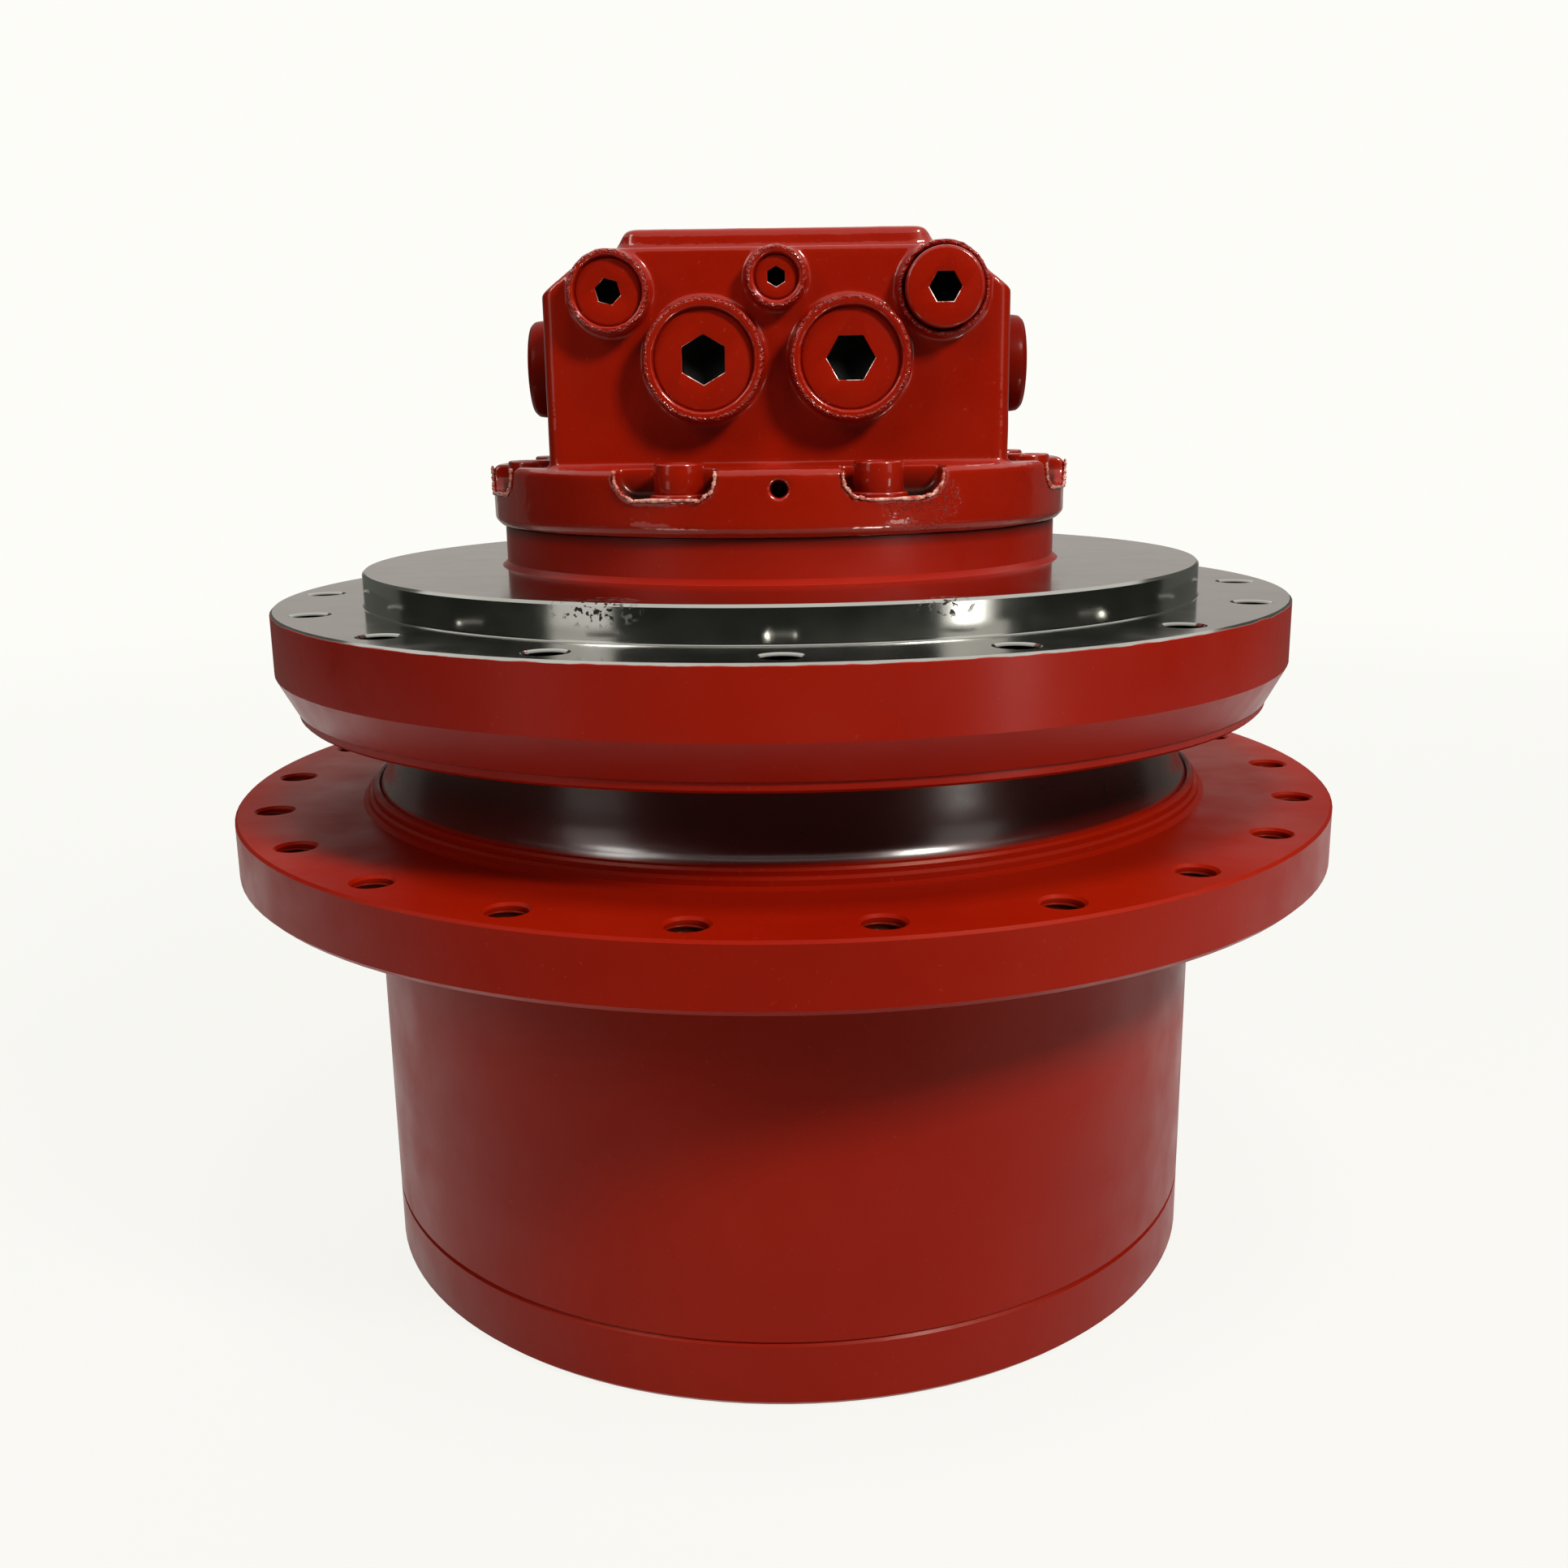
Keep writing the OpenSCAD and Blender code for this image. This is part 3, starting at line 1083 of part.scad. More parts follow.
// End cover, held by screws sunk in its face
cover_floor = 14;
cover_dish_r = 128;
cover_plug_pcr = 112;
cover_plug_r = 11;
cover_plug_head_r = 16;
cover_plug_sink = 9;
thrust_r = 40;
thrust_t = 6;
cover_edge = 2;
cover_o_ring_r = 1.8;
module cover_plug_places() {
  for (a = [0, 1]) rotate([0, 0, planet_start + a * 90])
    translate([0, -cover_plug_pcr, 0]) children();
}
module end_cover() color(paint) difference() {
  rotate_extrude() polygon([
    [0, 0], [barrel_r - cover_edge, 0], [barrel_r, cover_edge], [barrel_r, seam_z - edge],
    [barrel_r - edge, seam_z], [cover_spigot_r - running_fit, seam_z],
    [cover_spigot_r - running_fit, seam_z + cover_spigot_h],
    [cover_spigot_r - cover_spigot_w, seam_z + cover_spigot_h],
    [cover_dish_r, cover_floor + edge], [cover_dish_r - edge, cover_floor],
    [thrust_r + running_fit, cover_floor], [thrust_r + running_fit, cover_floor - thrust_t / 2],
    [0, cover_floor - thrust_t / 2]
  ]);
  translate([0, 0, -over]) on_circle(cover_screws_n, cover_screw_pcr, 0) {
    cylinder(d = cover_screw_d + 2 * loose_fit, h = cover_t + 2 * over);
    cylinder(r = head_share * cover_screw_d + 2 * loose_fit, h = cover_screw_d + edge + over);
  }
  cover_plug_places() {
    translate([0, 0, -over]) cylinder(r = cover_plug_r, h = cover_floor + 2 * over);
    translate([0, 0, -over]) cylinder(r = cover_plug_head_r + loose_fit, h = cover_plug_sink + over);
  }
  translate([0, 0, seam_z + cover_spigot_h / 2 - cover_o_ring_r])
    ring(cover_spigot_r + over, cover_spigot_r - 2 * cover_o_ring_r, 2 * cover_o_ring_r);
}
module cover_screws() color(paint) {
  on_circle(cover_screws_n, cover_screw_pcr, 0)
    translate([0, 0, cover_screw_d + edge]) mirror([0, 0, 1])
      cap_screw(cover_screw_d, cover_t - cover_screw_d - edge + cover_thread_len - 2 * edge,
                cover_screw_d);
}
module cover_plugs() color(paint) {
  cover_plug_places() difference() {
    union() {
      translate([0, 0, edge]) cylinder(r = cover_plug_head_r, h = cover_plug_sink - edge);
      translate([0, 0, cover_plug_sink - edge]) cylinder(r = cover_plug_r - running_fit,
                                                         h = cover_floor - cover_plug_sink);
    }
    translate([0, 0, edge]) mirror([0, 0, 1]) hex_key(cover_plug_r, cover_plug_sink);
  }
}
module thrust_plate() color(bronze) {
  translate([0, 0, cover_floor - thrust_t / 2]) cylinder(r = thrust_r, h = thrust_t);
}

// Second planet carrier: two plates on three posts, fixed to the spindle
module carrier_screw_places() {
  for (i = [0:planets - 1]) for (side = [-1, 1])
    rotate([0, 0, (i + 1 / 2) * 360 / planets + side * carrier_screw_angle])
      translate([carrier_screw_pcr, 0, 0]) children();
}
carrier2_hole_r = 41;
carrier2_centre_r = 24;
module carrier_2() color(cast_iron) difference() {
  union() {
    translate([0, 0, carrier2_z]) cylinder(r = carrier2_r, h = carrier2_t - carrier2_step);
    translate([0, 0, carrier2_z])
      cylinder(r = main_pitch_r - race_gap / 2 - edge, h = carrier2_t);
    translate([0, 0, carrier2_low_z]) cylinder(r = carrier2_r, h = carrier2_plate_t);
    on_circle(planets, post_pcr, planet_start + 180 / planets)
      translate([0, 0, carrier2_low_z + edge]) cylinder(r = post_r, h = carrier2_z - carrier2_low_z);
  }
  at_planets(arm2_r) translate([0, 0, carrier2_low_z - over])
    cylinder(r = pin2_d / 2, h = spindle_end_z - carrier2_low_z - carrier2_step + over);
  translate([0, 0, carrier2_low_z - over])
    cylinder(r = carrier2_hole_r, h = carrier2_plate_t + 2 * over);
  translate([0, 0, carrier2_z - over]) cylinder(r = carrier2_centre_r, h = carrier2_t + 2 * over);
  rotate([0, 0, planet_start]) carrier_screw_places() {
    translate([0, 0, carrier2_z - over])
      cylinder(d = carrier_screw_d + 2 * loose_fit, h = carrier2_t + 2 * over);
    translate([0, 0, carrier2_z - over])
      cylinder(r = head_share * carrier_screw_d + loose_fit, h = carrier_screw_d + edge + over);
  }
}
module carrier_2_screws() color(dark_steel) {
  rotate([0, 0, planet_start]) carrier_screw_places()
    translate([0, 0, carrier2_z + carrier_screw_d + edge]) mirror([0, 0, 1])
      cap_screw(carrier_screw_d,
                carrier2_t - carrier_screw_d - edge + carrier_screw_grip - 2 * edge,
                carrier_screw_d);
}
module planet_2_pins() color(bright_steel) {
  at_planets(arm2_r) translate([0, 0, carrier2_low_z])
    cylinder(r = pin2_d / 2, h = spindle_end_z - carrier2_low_z - carrier2_step);
}
module needle_set(pin_d, needle_d, z, h) {
  on_circle(needles, (pin_d + needle_d) / 2, 0) translate([0, 0, z]) cylinder(d = needle_d, h = h);
}
module planet_2_needles() color(bright_steel) {
  at_planets(arm2_r) needle_set(pin2_d, needle2_d, stage2_z + edge, stage2_w - 2 * edge);
}
module planet(arm_r, index, teeth, m, w, bore_r, z) {
  place = planet_start + index * 360 / planets;
  rotate([0, 0, place]) translate([arm_r, 0, z]) difference() {
    outer_gear(teeth, m, w, 180 + 180 / teeth);
    translate([0, 0, -over]) cylinder(r = bore_r, h = w + 2 * over);
  }
}
module planet_2(index) color(bare_steel)
  planet(arm2_r, index, planet2_teeth, stage2_m, stage2_w, planet2_bore_r, stage2_z);
module planet_2a() planet_2(0);
module planet_2b() planet_2(1);
module planet_2c() planet_2(2);

// Sun gear of the second stage, whose teeth also key it to the first carrier
sun2_bore_r = 17;
sun2_z = carrier1_z + edge;
module sun_gear_2() color(bare_steel) translate([0, 0, sun2_z]) difference() {
  outer_gear(sun2_teeth, stage2_m, stage2_z + stage2_w - sun2_z, planet_start);
  translate([0, 0, -over]) cylinder(r = sun2_bore_r, h = stage2_z + stage2_w - sun2_z + 2 * over);
}
carrier1_r = 104;
module carrier_1() color(cast_iron) difference() {
  translate([0, 0, carrier1_z]) cylinder(r = carrier1_r, h = carrier1_t);
  translate([0, 0, carrier1_z + edge])
    ring_space(sun2_teeth, stage2_m, carrier1_t + over, planet_start);
  translate([0, 0, carrier1_z - over]) cylinder(r = sun2_bore_r + edge, h = carrier1_t);
  at_planets(arm1_r) translate([0, 0, carrier1_z - over])
    cylinder(r = pin1_d / 2, h = carrier1_t + 2 * over);
}
pin_head_t = 3;
module planet_1_pins() color(bright_steel) {
  at_planets(arm1_r) {
    translate([0, 0, stage1_z]) cylinder(r = pin1_d / 2, h = carrier1_z + carrier1_t - stage1_z);
    translate([0, 0, stage1_z - gear_gap / 2 - pin_head_t])
      cylinder(r = planet1_bore_r + 2 * edge, h = pin_head_t);
    translate([0, 0, stage1_z - gear_gap]) cylinder(r = pin1_d / 2, h = gear_gap + edge);
  }
}
module planet_1_needles() color(bright_steel) {
  at_planets(arm1_r) needle_set(pin1_d, needle1_d, stage1_z + edge, stage1_w - 2 * edge);
}
module planet_1(index) color(bare_steel)
  planet(arm1_r, index, planet1_teeth, stage1_m, stage1_w, planet1_bore_r, stage1_z);
module planet_1a() planet_1(0);
module planet_1b() planet_1(1);
module planet_1c() planet_1(2);

// Sun gear of the first stage on the long shaft that the motor turns
sun1_shaft_r = 14;
sun1_nose_r = 10;
module sun_gear_1() color(bare_steel) {
  nose_z = cover_floor + thrust_t / 2 + face_gap;
  translate([0, 0, nose_z]) cylinder(r = sun1_nose_r, h = stage1_z - nose_z + edge);
  translate([0, 0, stage1_z - edge])
    outer_gear(sun1_teeth, stage1_m, stage1_w + gear_gap, planet_start);
  translate([0, 0, stage1_z + stage1_w])
    cylinder(r = sun1_shaft_r, h = shaft_low_z - edge - stage1_z - stage1_w);
  translate([0, 0, shaft_low_z - over]) cylinder(r = socket_r - 3 * edge, h = socket_len);
  translate([0, 0, shaft_low_z - over])
    lugs(sun_spline_teeth, socket_r - 4 * edge, socket_r - edge / 2, socket_len, -running_fit);
}

spindle();
port_block();
port_block_screws();
main_port_plugs();
drain_port_plug();
gauge_port_plug();
pilot_port_plug();
spool_cap_left();
spool_cap_right();
counterbalance_spool();
spool_springs();
relief_valves();
valve_plate();
cylinder_block();
pistons();
piston_shoes();
retainer_plate();
block_springs();
swash_plate();
swash_pivots();
control_piston();
drive_shaft();
shaft_outer_races();
shaft_inner_races();
shaft_bearing_balls();
shaft_seal();
brake_steel_plates();
brake_friction_discs();
brake_piston();
brake_springs();
main_inner_races();
main_outer_races();
upper_balls();
lower_balls();
seal_ring_fixed();
seal_ring_turning();
spindle_o_rings();
hub_o_rings();
hub();
hub_flange();
end_cover();
cover_screws();
cover_plugs();
thrust_plate();
carrier_2();
carrier_2_screws();
planet_2_pins();
planet_2_needles();
planet_2a();
planet_2b();
planet_2c();
sun_gear_2();
carrier_1();
planet_1_pins();
planet_1_needles();
planet_1a();
planet_1b();
planet_1c();
sun_gear_1();
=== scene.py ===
import bpy
import json
import math
from mathutils import Matrix, Vector


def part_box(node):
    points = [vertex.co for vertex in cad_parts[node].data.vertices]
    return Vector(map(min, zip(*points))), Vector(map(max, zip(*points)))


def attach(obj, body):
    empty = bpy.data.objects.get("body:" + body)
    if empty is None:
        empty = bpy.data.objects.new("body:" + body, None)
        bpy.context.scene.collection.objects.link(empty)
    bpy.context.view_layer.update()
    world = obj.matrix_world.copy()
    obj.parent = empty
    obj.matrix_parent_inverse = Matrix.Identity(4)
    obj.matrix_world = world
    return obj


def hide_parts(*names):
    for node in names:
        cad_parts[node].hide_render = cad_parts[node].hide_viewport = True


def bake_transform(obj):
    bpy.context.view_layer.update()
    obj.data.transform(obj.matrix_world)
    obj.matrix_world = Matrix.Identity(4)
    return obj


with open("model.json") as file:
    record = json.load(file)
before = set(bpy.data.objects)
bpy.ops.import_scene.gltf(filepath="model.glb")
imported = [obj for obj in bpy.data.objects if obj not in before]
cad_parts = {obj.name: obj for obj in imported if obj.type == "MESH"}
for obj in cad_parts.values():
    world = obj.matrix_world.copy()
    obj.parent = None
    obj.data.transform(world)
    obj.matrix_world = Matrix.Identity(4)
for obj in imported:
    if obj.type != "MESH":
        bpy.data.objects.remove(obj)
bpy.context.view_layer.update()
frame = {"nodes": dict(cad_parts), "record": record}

nodes = frame["nodes"]

# The studio: a pale floor, soft lamps and the camera, which stands a little
# above the drive and looks slightly down on the oil ports. Dark cards, with a
# gap on each side, shape what the bare steel and the paint reflect, and the
# pale floor in front ends at a dark strip, as a workbench does.
ivory = (0.985, 0.98, 0.94, 1)
view_x, view_y, view_z = 0.0003, -0.655, 0.3415
view_down, view_roll = math.radians(13.37), math.radians(0.8)
lens_share = 1910 / 1932


def add_object(name, data):
    piece = bpy.data.objects.new(name, data)
    bpy.context.scene.collection.objects.link(piece)
    return piece


cam_data = bpy.data.cameras.new("photo_camera")
cam_data.sensor_width = 36
cam_data.lens = 36 * lens_share
cam_data.clip_start = 0.02
camera = add_object("photo_camera", cam_data)
camera.matrix_world = (
    Matrix.Translation((view_x, view_y, view_z))
    @ Matrix.Rotation(math.pi / 2 - view_down, 4, "X")
    @ Matrix.Rotation(-view_roll, 4, "Z")
)
bpy.context.scene.camera = camera
bpy.context.scene.view_settings.view_transform = "Standard"


def studio_lamp(name, place, aim, size, power, tint, in_gloss=True):
    lamp = bpy.data.lights.new(name, "AREA")
    lamp.shape = "RECTANGLE"
    lamp.size, lamp.size_y = size
    lamp.energy = power
    lamp.color = tint
    piece = add_object(name, lamp)
    piece.location = place
    piece.visible_glossy = in_gloss
    piece.rotation_euler = (Vector(aim) - Vector(place)).to_track_quat("-Z", "Y").to_euler()


studio_lamp("key_lamp", (0.85, -1.0, 1.3), (0, 0, 0.25), (0.28, 0.28), 23, (1, 0.98, 0.93))
studio_lamp("left_lamp", (-0.95, -1.0, 1.1), (0, 0, 0.22), (0.4, 0.5), 5, (1, 0.98, 0.95))
studio_lamp("top_lamp", (0.1, -0.45, 1.75), (0, 0, 0.2), (0.4, 0.4), 11, (1, 1, 0.98), False)
studio_lamp("back_lamp", (-0.3, 1.3, 1.1), (0, 0, 0.2), (0.9, 0.9), 12, (1, 1, 1), False)


def seen_or_mirrored(tree):
    path = tree.nodes.new("ShaderNodeLightPath")
    add_gloss = tree.nodes.new("ShaderNodeMath")
    add_gloss.operation = "MAXIMUM"
    add_glass = tree.nodes.new("ShaderNodeMath")
    add_glass.operation = "MAXIMUM"
    tree.links.new(path.outputs["Is Camera Ray"], add_gloss.inputs[0])
    tree.links.new(path.outputs["Is Glossy Ray"], add_gloss.inputs[1])
    tree.links.new(add_gloss.outputs[0], add_glass.inputs[0])
    tree.links.new(path.outputs["Is Transmission Ray"], add_glass.inputs[1])
    return add_glass.outputs[0]


world = bpy.data.worlds.new("studio_air")
bpy.context.scene.world = world
world.use_nodes = True
air = world.node_tree
air.nodes.clear()
out = air.nodes.new("ShaderNodeOutputWorld")
seen = air.nodes.new("ShaderNodeBackground")
seen.inputs["Color"].default_value = ivory
seen.inputs["Strength"].default_value = 1
lit = air.nodes.new("ShaderNodeBackground")
lit.inputs["Color"].default_value = (0.95, 0.97, 1, 1)
lit.inputs["Strength"].default_value = 0.04
mix = air.nodes.new("ShaderNodeMixShader")
air.links.new(seen_or_mirrored(air), mix.inputs[0])
air.links.new(lit.outputs[0], mix.inputs[1])
air.links.new(seen.outputs[0], mix.inputs[2])
air.links.new(mix.outputs[0], out.inputs[0])

bpy.ops.object.select_all(action="DESELECT")
bpy.ops.mesh.primitive_circle_add(vertices=96, radius=9, fill_type="NGON",
                                  location=(0, 0, -0.0004))
floor = bpy.context.object
floor.name = "floor"
floor_paint = bpy.data.materials.new("pale_floor")
floor_paint.use_nodes = True
tree = floor_paint.node_tree
tree.nodes.clear()
out = tree.nodes.new("ShaderNodeOutputMaterial")
matte = tree.nodes.new("ShaderNodeBsdfDiffuse")
matte.inputs["Color"].default_value = (0.6, 0.6, 0.58, 1)
glow = tree.nodes.new("ShaderNodeEmission")
glow.inputs["Color"].default_value = ivory
glow.inputs["Strength"].default_value = 1
share = tree.nodes.new("ShaderNodeMath")
share.operation = "MULTIPLY"
from_drive = tree.nodes.new("ShaderNodeTexCoord")
distance = tree.nodes.new("ShaderNodeVectorMath")
distance.operation = "LENGTH"
fade = tree.nodes.new("ShaderNodeMapRange")
fade.inputs["From Min"].default_value = 0.35
fade.inputs["From Max"].default_value = 2.2
fade.inputs["To Min"].default_value = 0.9
fade.inputs["To Max"].default_value = 1.0
mix = tree.nodes.new("ShaderNodeMixShader")
tree.links.new(from_drive.outputs["Object"], distance.inputs[0])
tree.links.new(distance.outputs["Value"], fade.inputs["Value"])
tree.links.new(fade.outputs["Result"], share.inputs[1])
tree.links.new(seen_or_mirrored(tree), share.inputs[0])
tree.links.new(share.outputs[0], mix.inputs[0])
tree.links.new(matte.outputs[0], mix.inputs[1])
tree.links.new(glow.outputs[0], mix.inputs[2])
tree.links.new(mix.outputs[0], out.inputs[0])
floor.data.materials.append(floor_paint)

card_radius, card_steps, card_foot = 1.15, 24, 0.001
card_tones = {"dark": ((0.02, 0.022, 0.018, 1), 1), "grey": ((0.44, 0.41, 0.38, 1), 1),
              "dim": ((0.11, 0.112, 0.1, 1), 1),
              "shade": ((1, 0.98, 0.93, 1), 1.0), "window": ((1, 1, 0.95, 1), 6.0)}
card_paints = {}
for tone, (colour, power) in card_tones.items():
    paint = bpy.data.materials.new(tone + "_card")
    paint.use_nodes = True
    tree = paint.node_tree
    tree.nodes.clear()
    out = tree.nodes.new("ShaderNodeOutputMaterial")
    glow = tree.nodes.new("ShaderNodeEmission")
    glow.inputs["Color"].default_value = colour
    glow.inputs["Strength"].default_value = power
    tree.links.new(glow.outputs[0], out.inputs[0])
    card_paints[tone] = paint


def reflection_card(name, tone, verts, faces):
    mesh = bpy.data.meshes.new(name)
    mesh.from_pydata(verts, [], faces)
    card = add_object(name, mesh)
    card.data.materials.append(card_paints[tone])
    card.visible_camera = False
    card.visible_diffuse = False
    card.visible_shadow = False


def standing_card(name, tone, from_deg, to_deg, low, top):
    rim = []
    for i in range(card_steps + 1):
        a = math.radians(from_deg + (to_deg - from_deg) * i / card_steps - 90)
        rim.append((card_radius * math.cos(a), card_radius * math.sin(a)))
    verts = [(x, y, low) for x, y in rim] + [(x, y, top) for x, y in rim]
    faces = [(i, i + 1, i + card_steps + 2, i + card_steps + 1) for i in range(card_steps)]
    reflection_card(name, tone, verts, faces)


sill, lintel, window_top = 0.21, 0.34, 0.7
# Each card: tone, its two ends in degrees from the front, lower and upper edge
for row in (
    ("front_card", "dark", -40, 38, card_foot, 1.0),
    ("left_card", "dark", -112, -56, card_foot, 0.9),
    ("right_card", "dark", 55, 112, card_foot, 0.9),
    ("far_left_card", "dim", -150, -112, card_foot, 0.9),
    ("far_right_card", "dim", 112, 150, card_foot, 0.9),
    ("back_card", "grey", 150, 210, card_foot, 0.7),
    ("left_low_window", "shade", -56, -40, card_foot, sill),
    ("left_bar", "dark", -56, -40, sill, lintel),
    ("left_window", "shade", -56, -40, lintel, window_top),
    ("right_low_window", "shade", 38, 41, card_foot, sill),
    ("right_bright_window", "window", 41, 48, card_foot, sill),
    ("right_low_shade", "shade", 48, 51, card_foot, sill),
    ("right_low_dark", "dark", 51, 55, card_foot, sill),
    ("right_bar", "dark", 38, 55, sill, lintel),
    ("right_window", "shade", 38, 55, lintel, window_top),
):
    standing_card(*row)
bench_edge = -0.39
reflection_card("bench_strip", "dark",
                [(-card_radius, bench_edge, card_foot), (card_radius, bench_edge, card_foot),
                 (card_radius, -card_radius, card_foot), (-card_radius, -card_radius, card_foot)],
                [(0, 1, 2, 3)])

# The spindle: one steel forging with the frame flange, the pilot and the
# motor housing. It is sprayed red, but the seat and pilot of the track frame
# are left bare, turned and oiled, and the pilot's top edge has rust pits.


def new_finish(name, colour, rough, metal):
    mat = bpy.data.materials.new(name)
    mat.use_nodes = True
    tree = mat.node_tree
    skin = tree.nodes["Principled BSDF"]
    skin.inputs["Base Color"].default_value = colour
    skin.inputs["Roughness"].default_value = rough
    skin.inputs["Metallic"].default_value = metal
    where = tree.nodes.new("ShaderNodeTexCoord")
    return mat, tree, skin, where.outputs["Object"]


def grain(tree, where, scale, detail, rough=0.5):
    node = tree.nodes.new("ShaderNodeTexNoise")
    node.inputs["Scale"].default_value = scale
    node.inputs["Detail"].default_value = detail
    node.inputs["Roughness"].default_value = rough
    tree.links.new(where, node.inputs["Vector"])
    return node.outputs["Fac"]


def ramp(tree, value, low, high, to_low=0.0, to_high=1.0):
    node = tree.nodes.new("ShaderNodeMapRange")
    node.inputs["From Min"].default_value = low
    node.inputs["From Max"].default_value = high
    node.inputs["To Min"].default_value = to_low
    node.inputs["To Max"].default_value = to_high
    tree.links.new(value, node.inputs["Value"])
    return node.outputs["Result"]


def sums(tree, how, a, b):
    node = tree.nodes.new("ShaderNodeMath")
    node.operation = how
    for socket, value in ((node.inputs[0], a), (node.inputs[1], b)):
        if isinstance(value, (int, float)):
            socket.default_value = value
        else:
            tree.links.new(value, socket)
    return node.outputs[0]


def blend_colours(tree, share, a, b, how="MIX"):
    node = tree.nodes.new("ShaderNodeMix")
    node.data_type = "RGBA"
    node.blend_type = how
    if isinstance(share, (int, float)):
        node.inputs[0].default_value = share
    else:
        tree.links.new(share, node.inputs[0])
    for socket, value in ((node.inputs[6], a), (node.inputs[7], b)):
        if isinstance(value, tuple):
            socket.default_value = value
        else:
            tree.links.new(value, socket)
    return node.outputs[2]


def relief(tree, height, strength, depth, under=None):
    node = tree.nodes.new("ShaderNodeBump")
    node.inputs["Strength"].default_value = strength
    node.inputs["Distance"].default_value = depth
    tree.links.new(height, node.inputs["Height"])
    if under is not None:
        tree.links.new(under, node.inputs["Normal"])
    return node.outputs["Normal"]


def distance_from(tree, where, centre, scale=(1, 1, 1)):
    shift = tree.nodes.new("ShaderNodeVectorMath")
    shift.operation = "SUBTRACT"
    shift.inputs[1].default_value = centre
    tree.links.new(where, shift.inputs[0])
    squash = tree.nodes.new("ShaderNodeVectorMath")
    squash.operation = "MULTIPLY"
    squash.inputs[1].default_value = scale
    tree.links.new(shift.outputs["Vector"], squash.inputs[0])
    length = tree.nodes.new("ShaderNodeVectorMath")
    length.operation = "LENGTH"
    tree.links.new(squash.outputs["Vector"], length.inputs[0])
    return length.outputs["Value"]


def radius_and_height(tree, where):
    split = tree.nodes.new("ShaderNodeSeparateXYZ")
    tree.links.new(where, split.inputs[0])
    flat = tree.nodes.new("ShaderNodeCombineXYZ")
    tree.links.new(split.outputs[0], flat.inputs[0])
    tree.links.new(split.outputs[1], flat.inputs[1])
    length = tree.nodes.new("ShaderNodeVectorMath")
    length.operation = "LENGTH"
    tree.links.new(flat.outputs[0], length.inputs[0])
    return length.outputs["Value"], split.outputs[2]


enamel_red = (0.285, 0.0075, 0.0004, 1)
enamel_deep = (0.245, 0.005, 0.0004, 1)
enamel_dust = (0.30, 0.04, 0.022, 1)


def red_enamel(name, peel, gloss):
    mat, tree, skin, where = new_finish(name, enamel_red, gloss, 0.0)
    skin.inputs["Specular IOR Level"].default_value = 0.15
    skin.inputs["Specular Tint"].default_value = (1, 0.7, 0.55, 1)
    skin.inputs["Coat Weight"].default_value = 0.05
    skin.inputs["Coat Roughness"].default_value = 0.2
    clouds = ramp(tree, grain(tree, where, 9, 3), 0.35, 0.7)
    base = blend_colours(tree, clouds, enamel_red, enamel_deep)
    specks = ramp(tree, grain(tree, where, 620, 2), 0.69, 0.76, 0, 0.5)
    base = blend_colours(tree, specks, base, enamel_dust)
    skin_rough = ramp(tree, grain(tree, where, 45, 3), 0.3, 0.75, gloss - 0.06, gloss + 0.1)
    tree.links.new(skin_rough, skin.inputs["Roughness"])
    soft = relief(tree, grain(tree, where, 210, 2), peel, 0.0004)
    fine = relief(tree, grain(tree, where, 1500, 1), peel * 0.35, 0.0001, soft)
    tree.links.new(fine, skin.inputs["Normal"])
    tree.links.new(soft, skin.inputs["Coat Normal"])
    return mat, tree, skin, where, base


def on_nodes(finish, *names):
    for name in names:
        nodes[name].data.materials.clear()
        nodes[name].data.materials.append(finish)


neck_top, neck_shade = 0.3000, 0.0045
bare_low, bare_high, bare_in = 0.2702, 0.2845, 0.1148
hole_in, hole_out, hole_floor, hole_mouth = 0.183, 0.2, 0.2377, 0.2698
pit_z, pit_places = 0.2815, ((-0.060, -0.159, 0.018), (0.054, -0.161, 0.012))
steel_grey = (0.48, 0.475, 0.445, 1)
rust_dark = (0.012, 0.008, 0.005, 1)
spindle_finish, tree, skin, where, base = red_enamel("spindle_red_and_bare_steel", 0.16, 0.36)
radius, height = radius_and_height(tree, where)
# Painted shadow: a dark band is blended in at the top of the neck, under the port block's flange.
painted_shadow_under_block = ramp(tree, height, neck_top - neck_shade, neck_top - 0.0003, 0, 0.85)
base = blend_colours(tree, painted_shadow_under_block, base, (0.02, 0.002, 0.001, 1))
wobble = ramp(tree, grain(tree, where, 90, 3), 0, 1, -0.0005, 0.0005)
above = ramp(tree, sums(tree, "ADD", height, wobble), bare_low - 0.0001, bare_low + 0.0001)
below = ramp(tree, height, bare_high - 0.0002, bare_high, 1, 0)
outside = ramp(tree, radius, bare_in - 0.0003, bare_in)
faces = sums(tree, "MULTIPLY", sums(tree, "MULTIPLY", above, below), outside)
in_hole = sums(tree, "MULTIPLY", ramp(tree, radius, hole_in - 0.0001, hole_in),
               ramp(tree, radius, hole_out, hole_out + 0.0001, 1, 0))
in_hole = sums(tree, "MULTIPLY", in_hole, ramp(tree, height, hole_floor, hole_floor + 0.0001))
bare = sums(tree, "MAXIMUM", faces, in_hole)
rings = tree.nodes.new("ShaderNodeTexNoise")
rings.noise_dimensions = "1D"
rings.inputs["Scale"].default_value = 2600
rings.inputs["Detail"].default_value = 3
tree.links.new(sums(tree, "ADD", radius, sums(tree, "MULTIPLY", height, 0.7)), rings.inputs["W"])
pits = 0.0
for pit_x, pit_y, reach in pit_places:
    off = distance_from(tree, where, (pit_x, pit_y, pit_z), (1, 1, 3))
    pits = sums(tree, "MAXIMUM", ramp(tree, off, reach * 0.5, reach, 1, 0), pits)
pits = sums(tree, "MULTIPLY", pits, ramp(tree, grain(tree, where, 480, 3), 0.55, 0.58))
stain = ramp(tree, grain(tree, where, 26, 4), 0.45, 0.75, 0, 0.5)
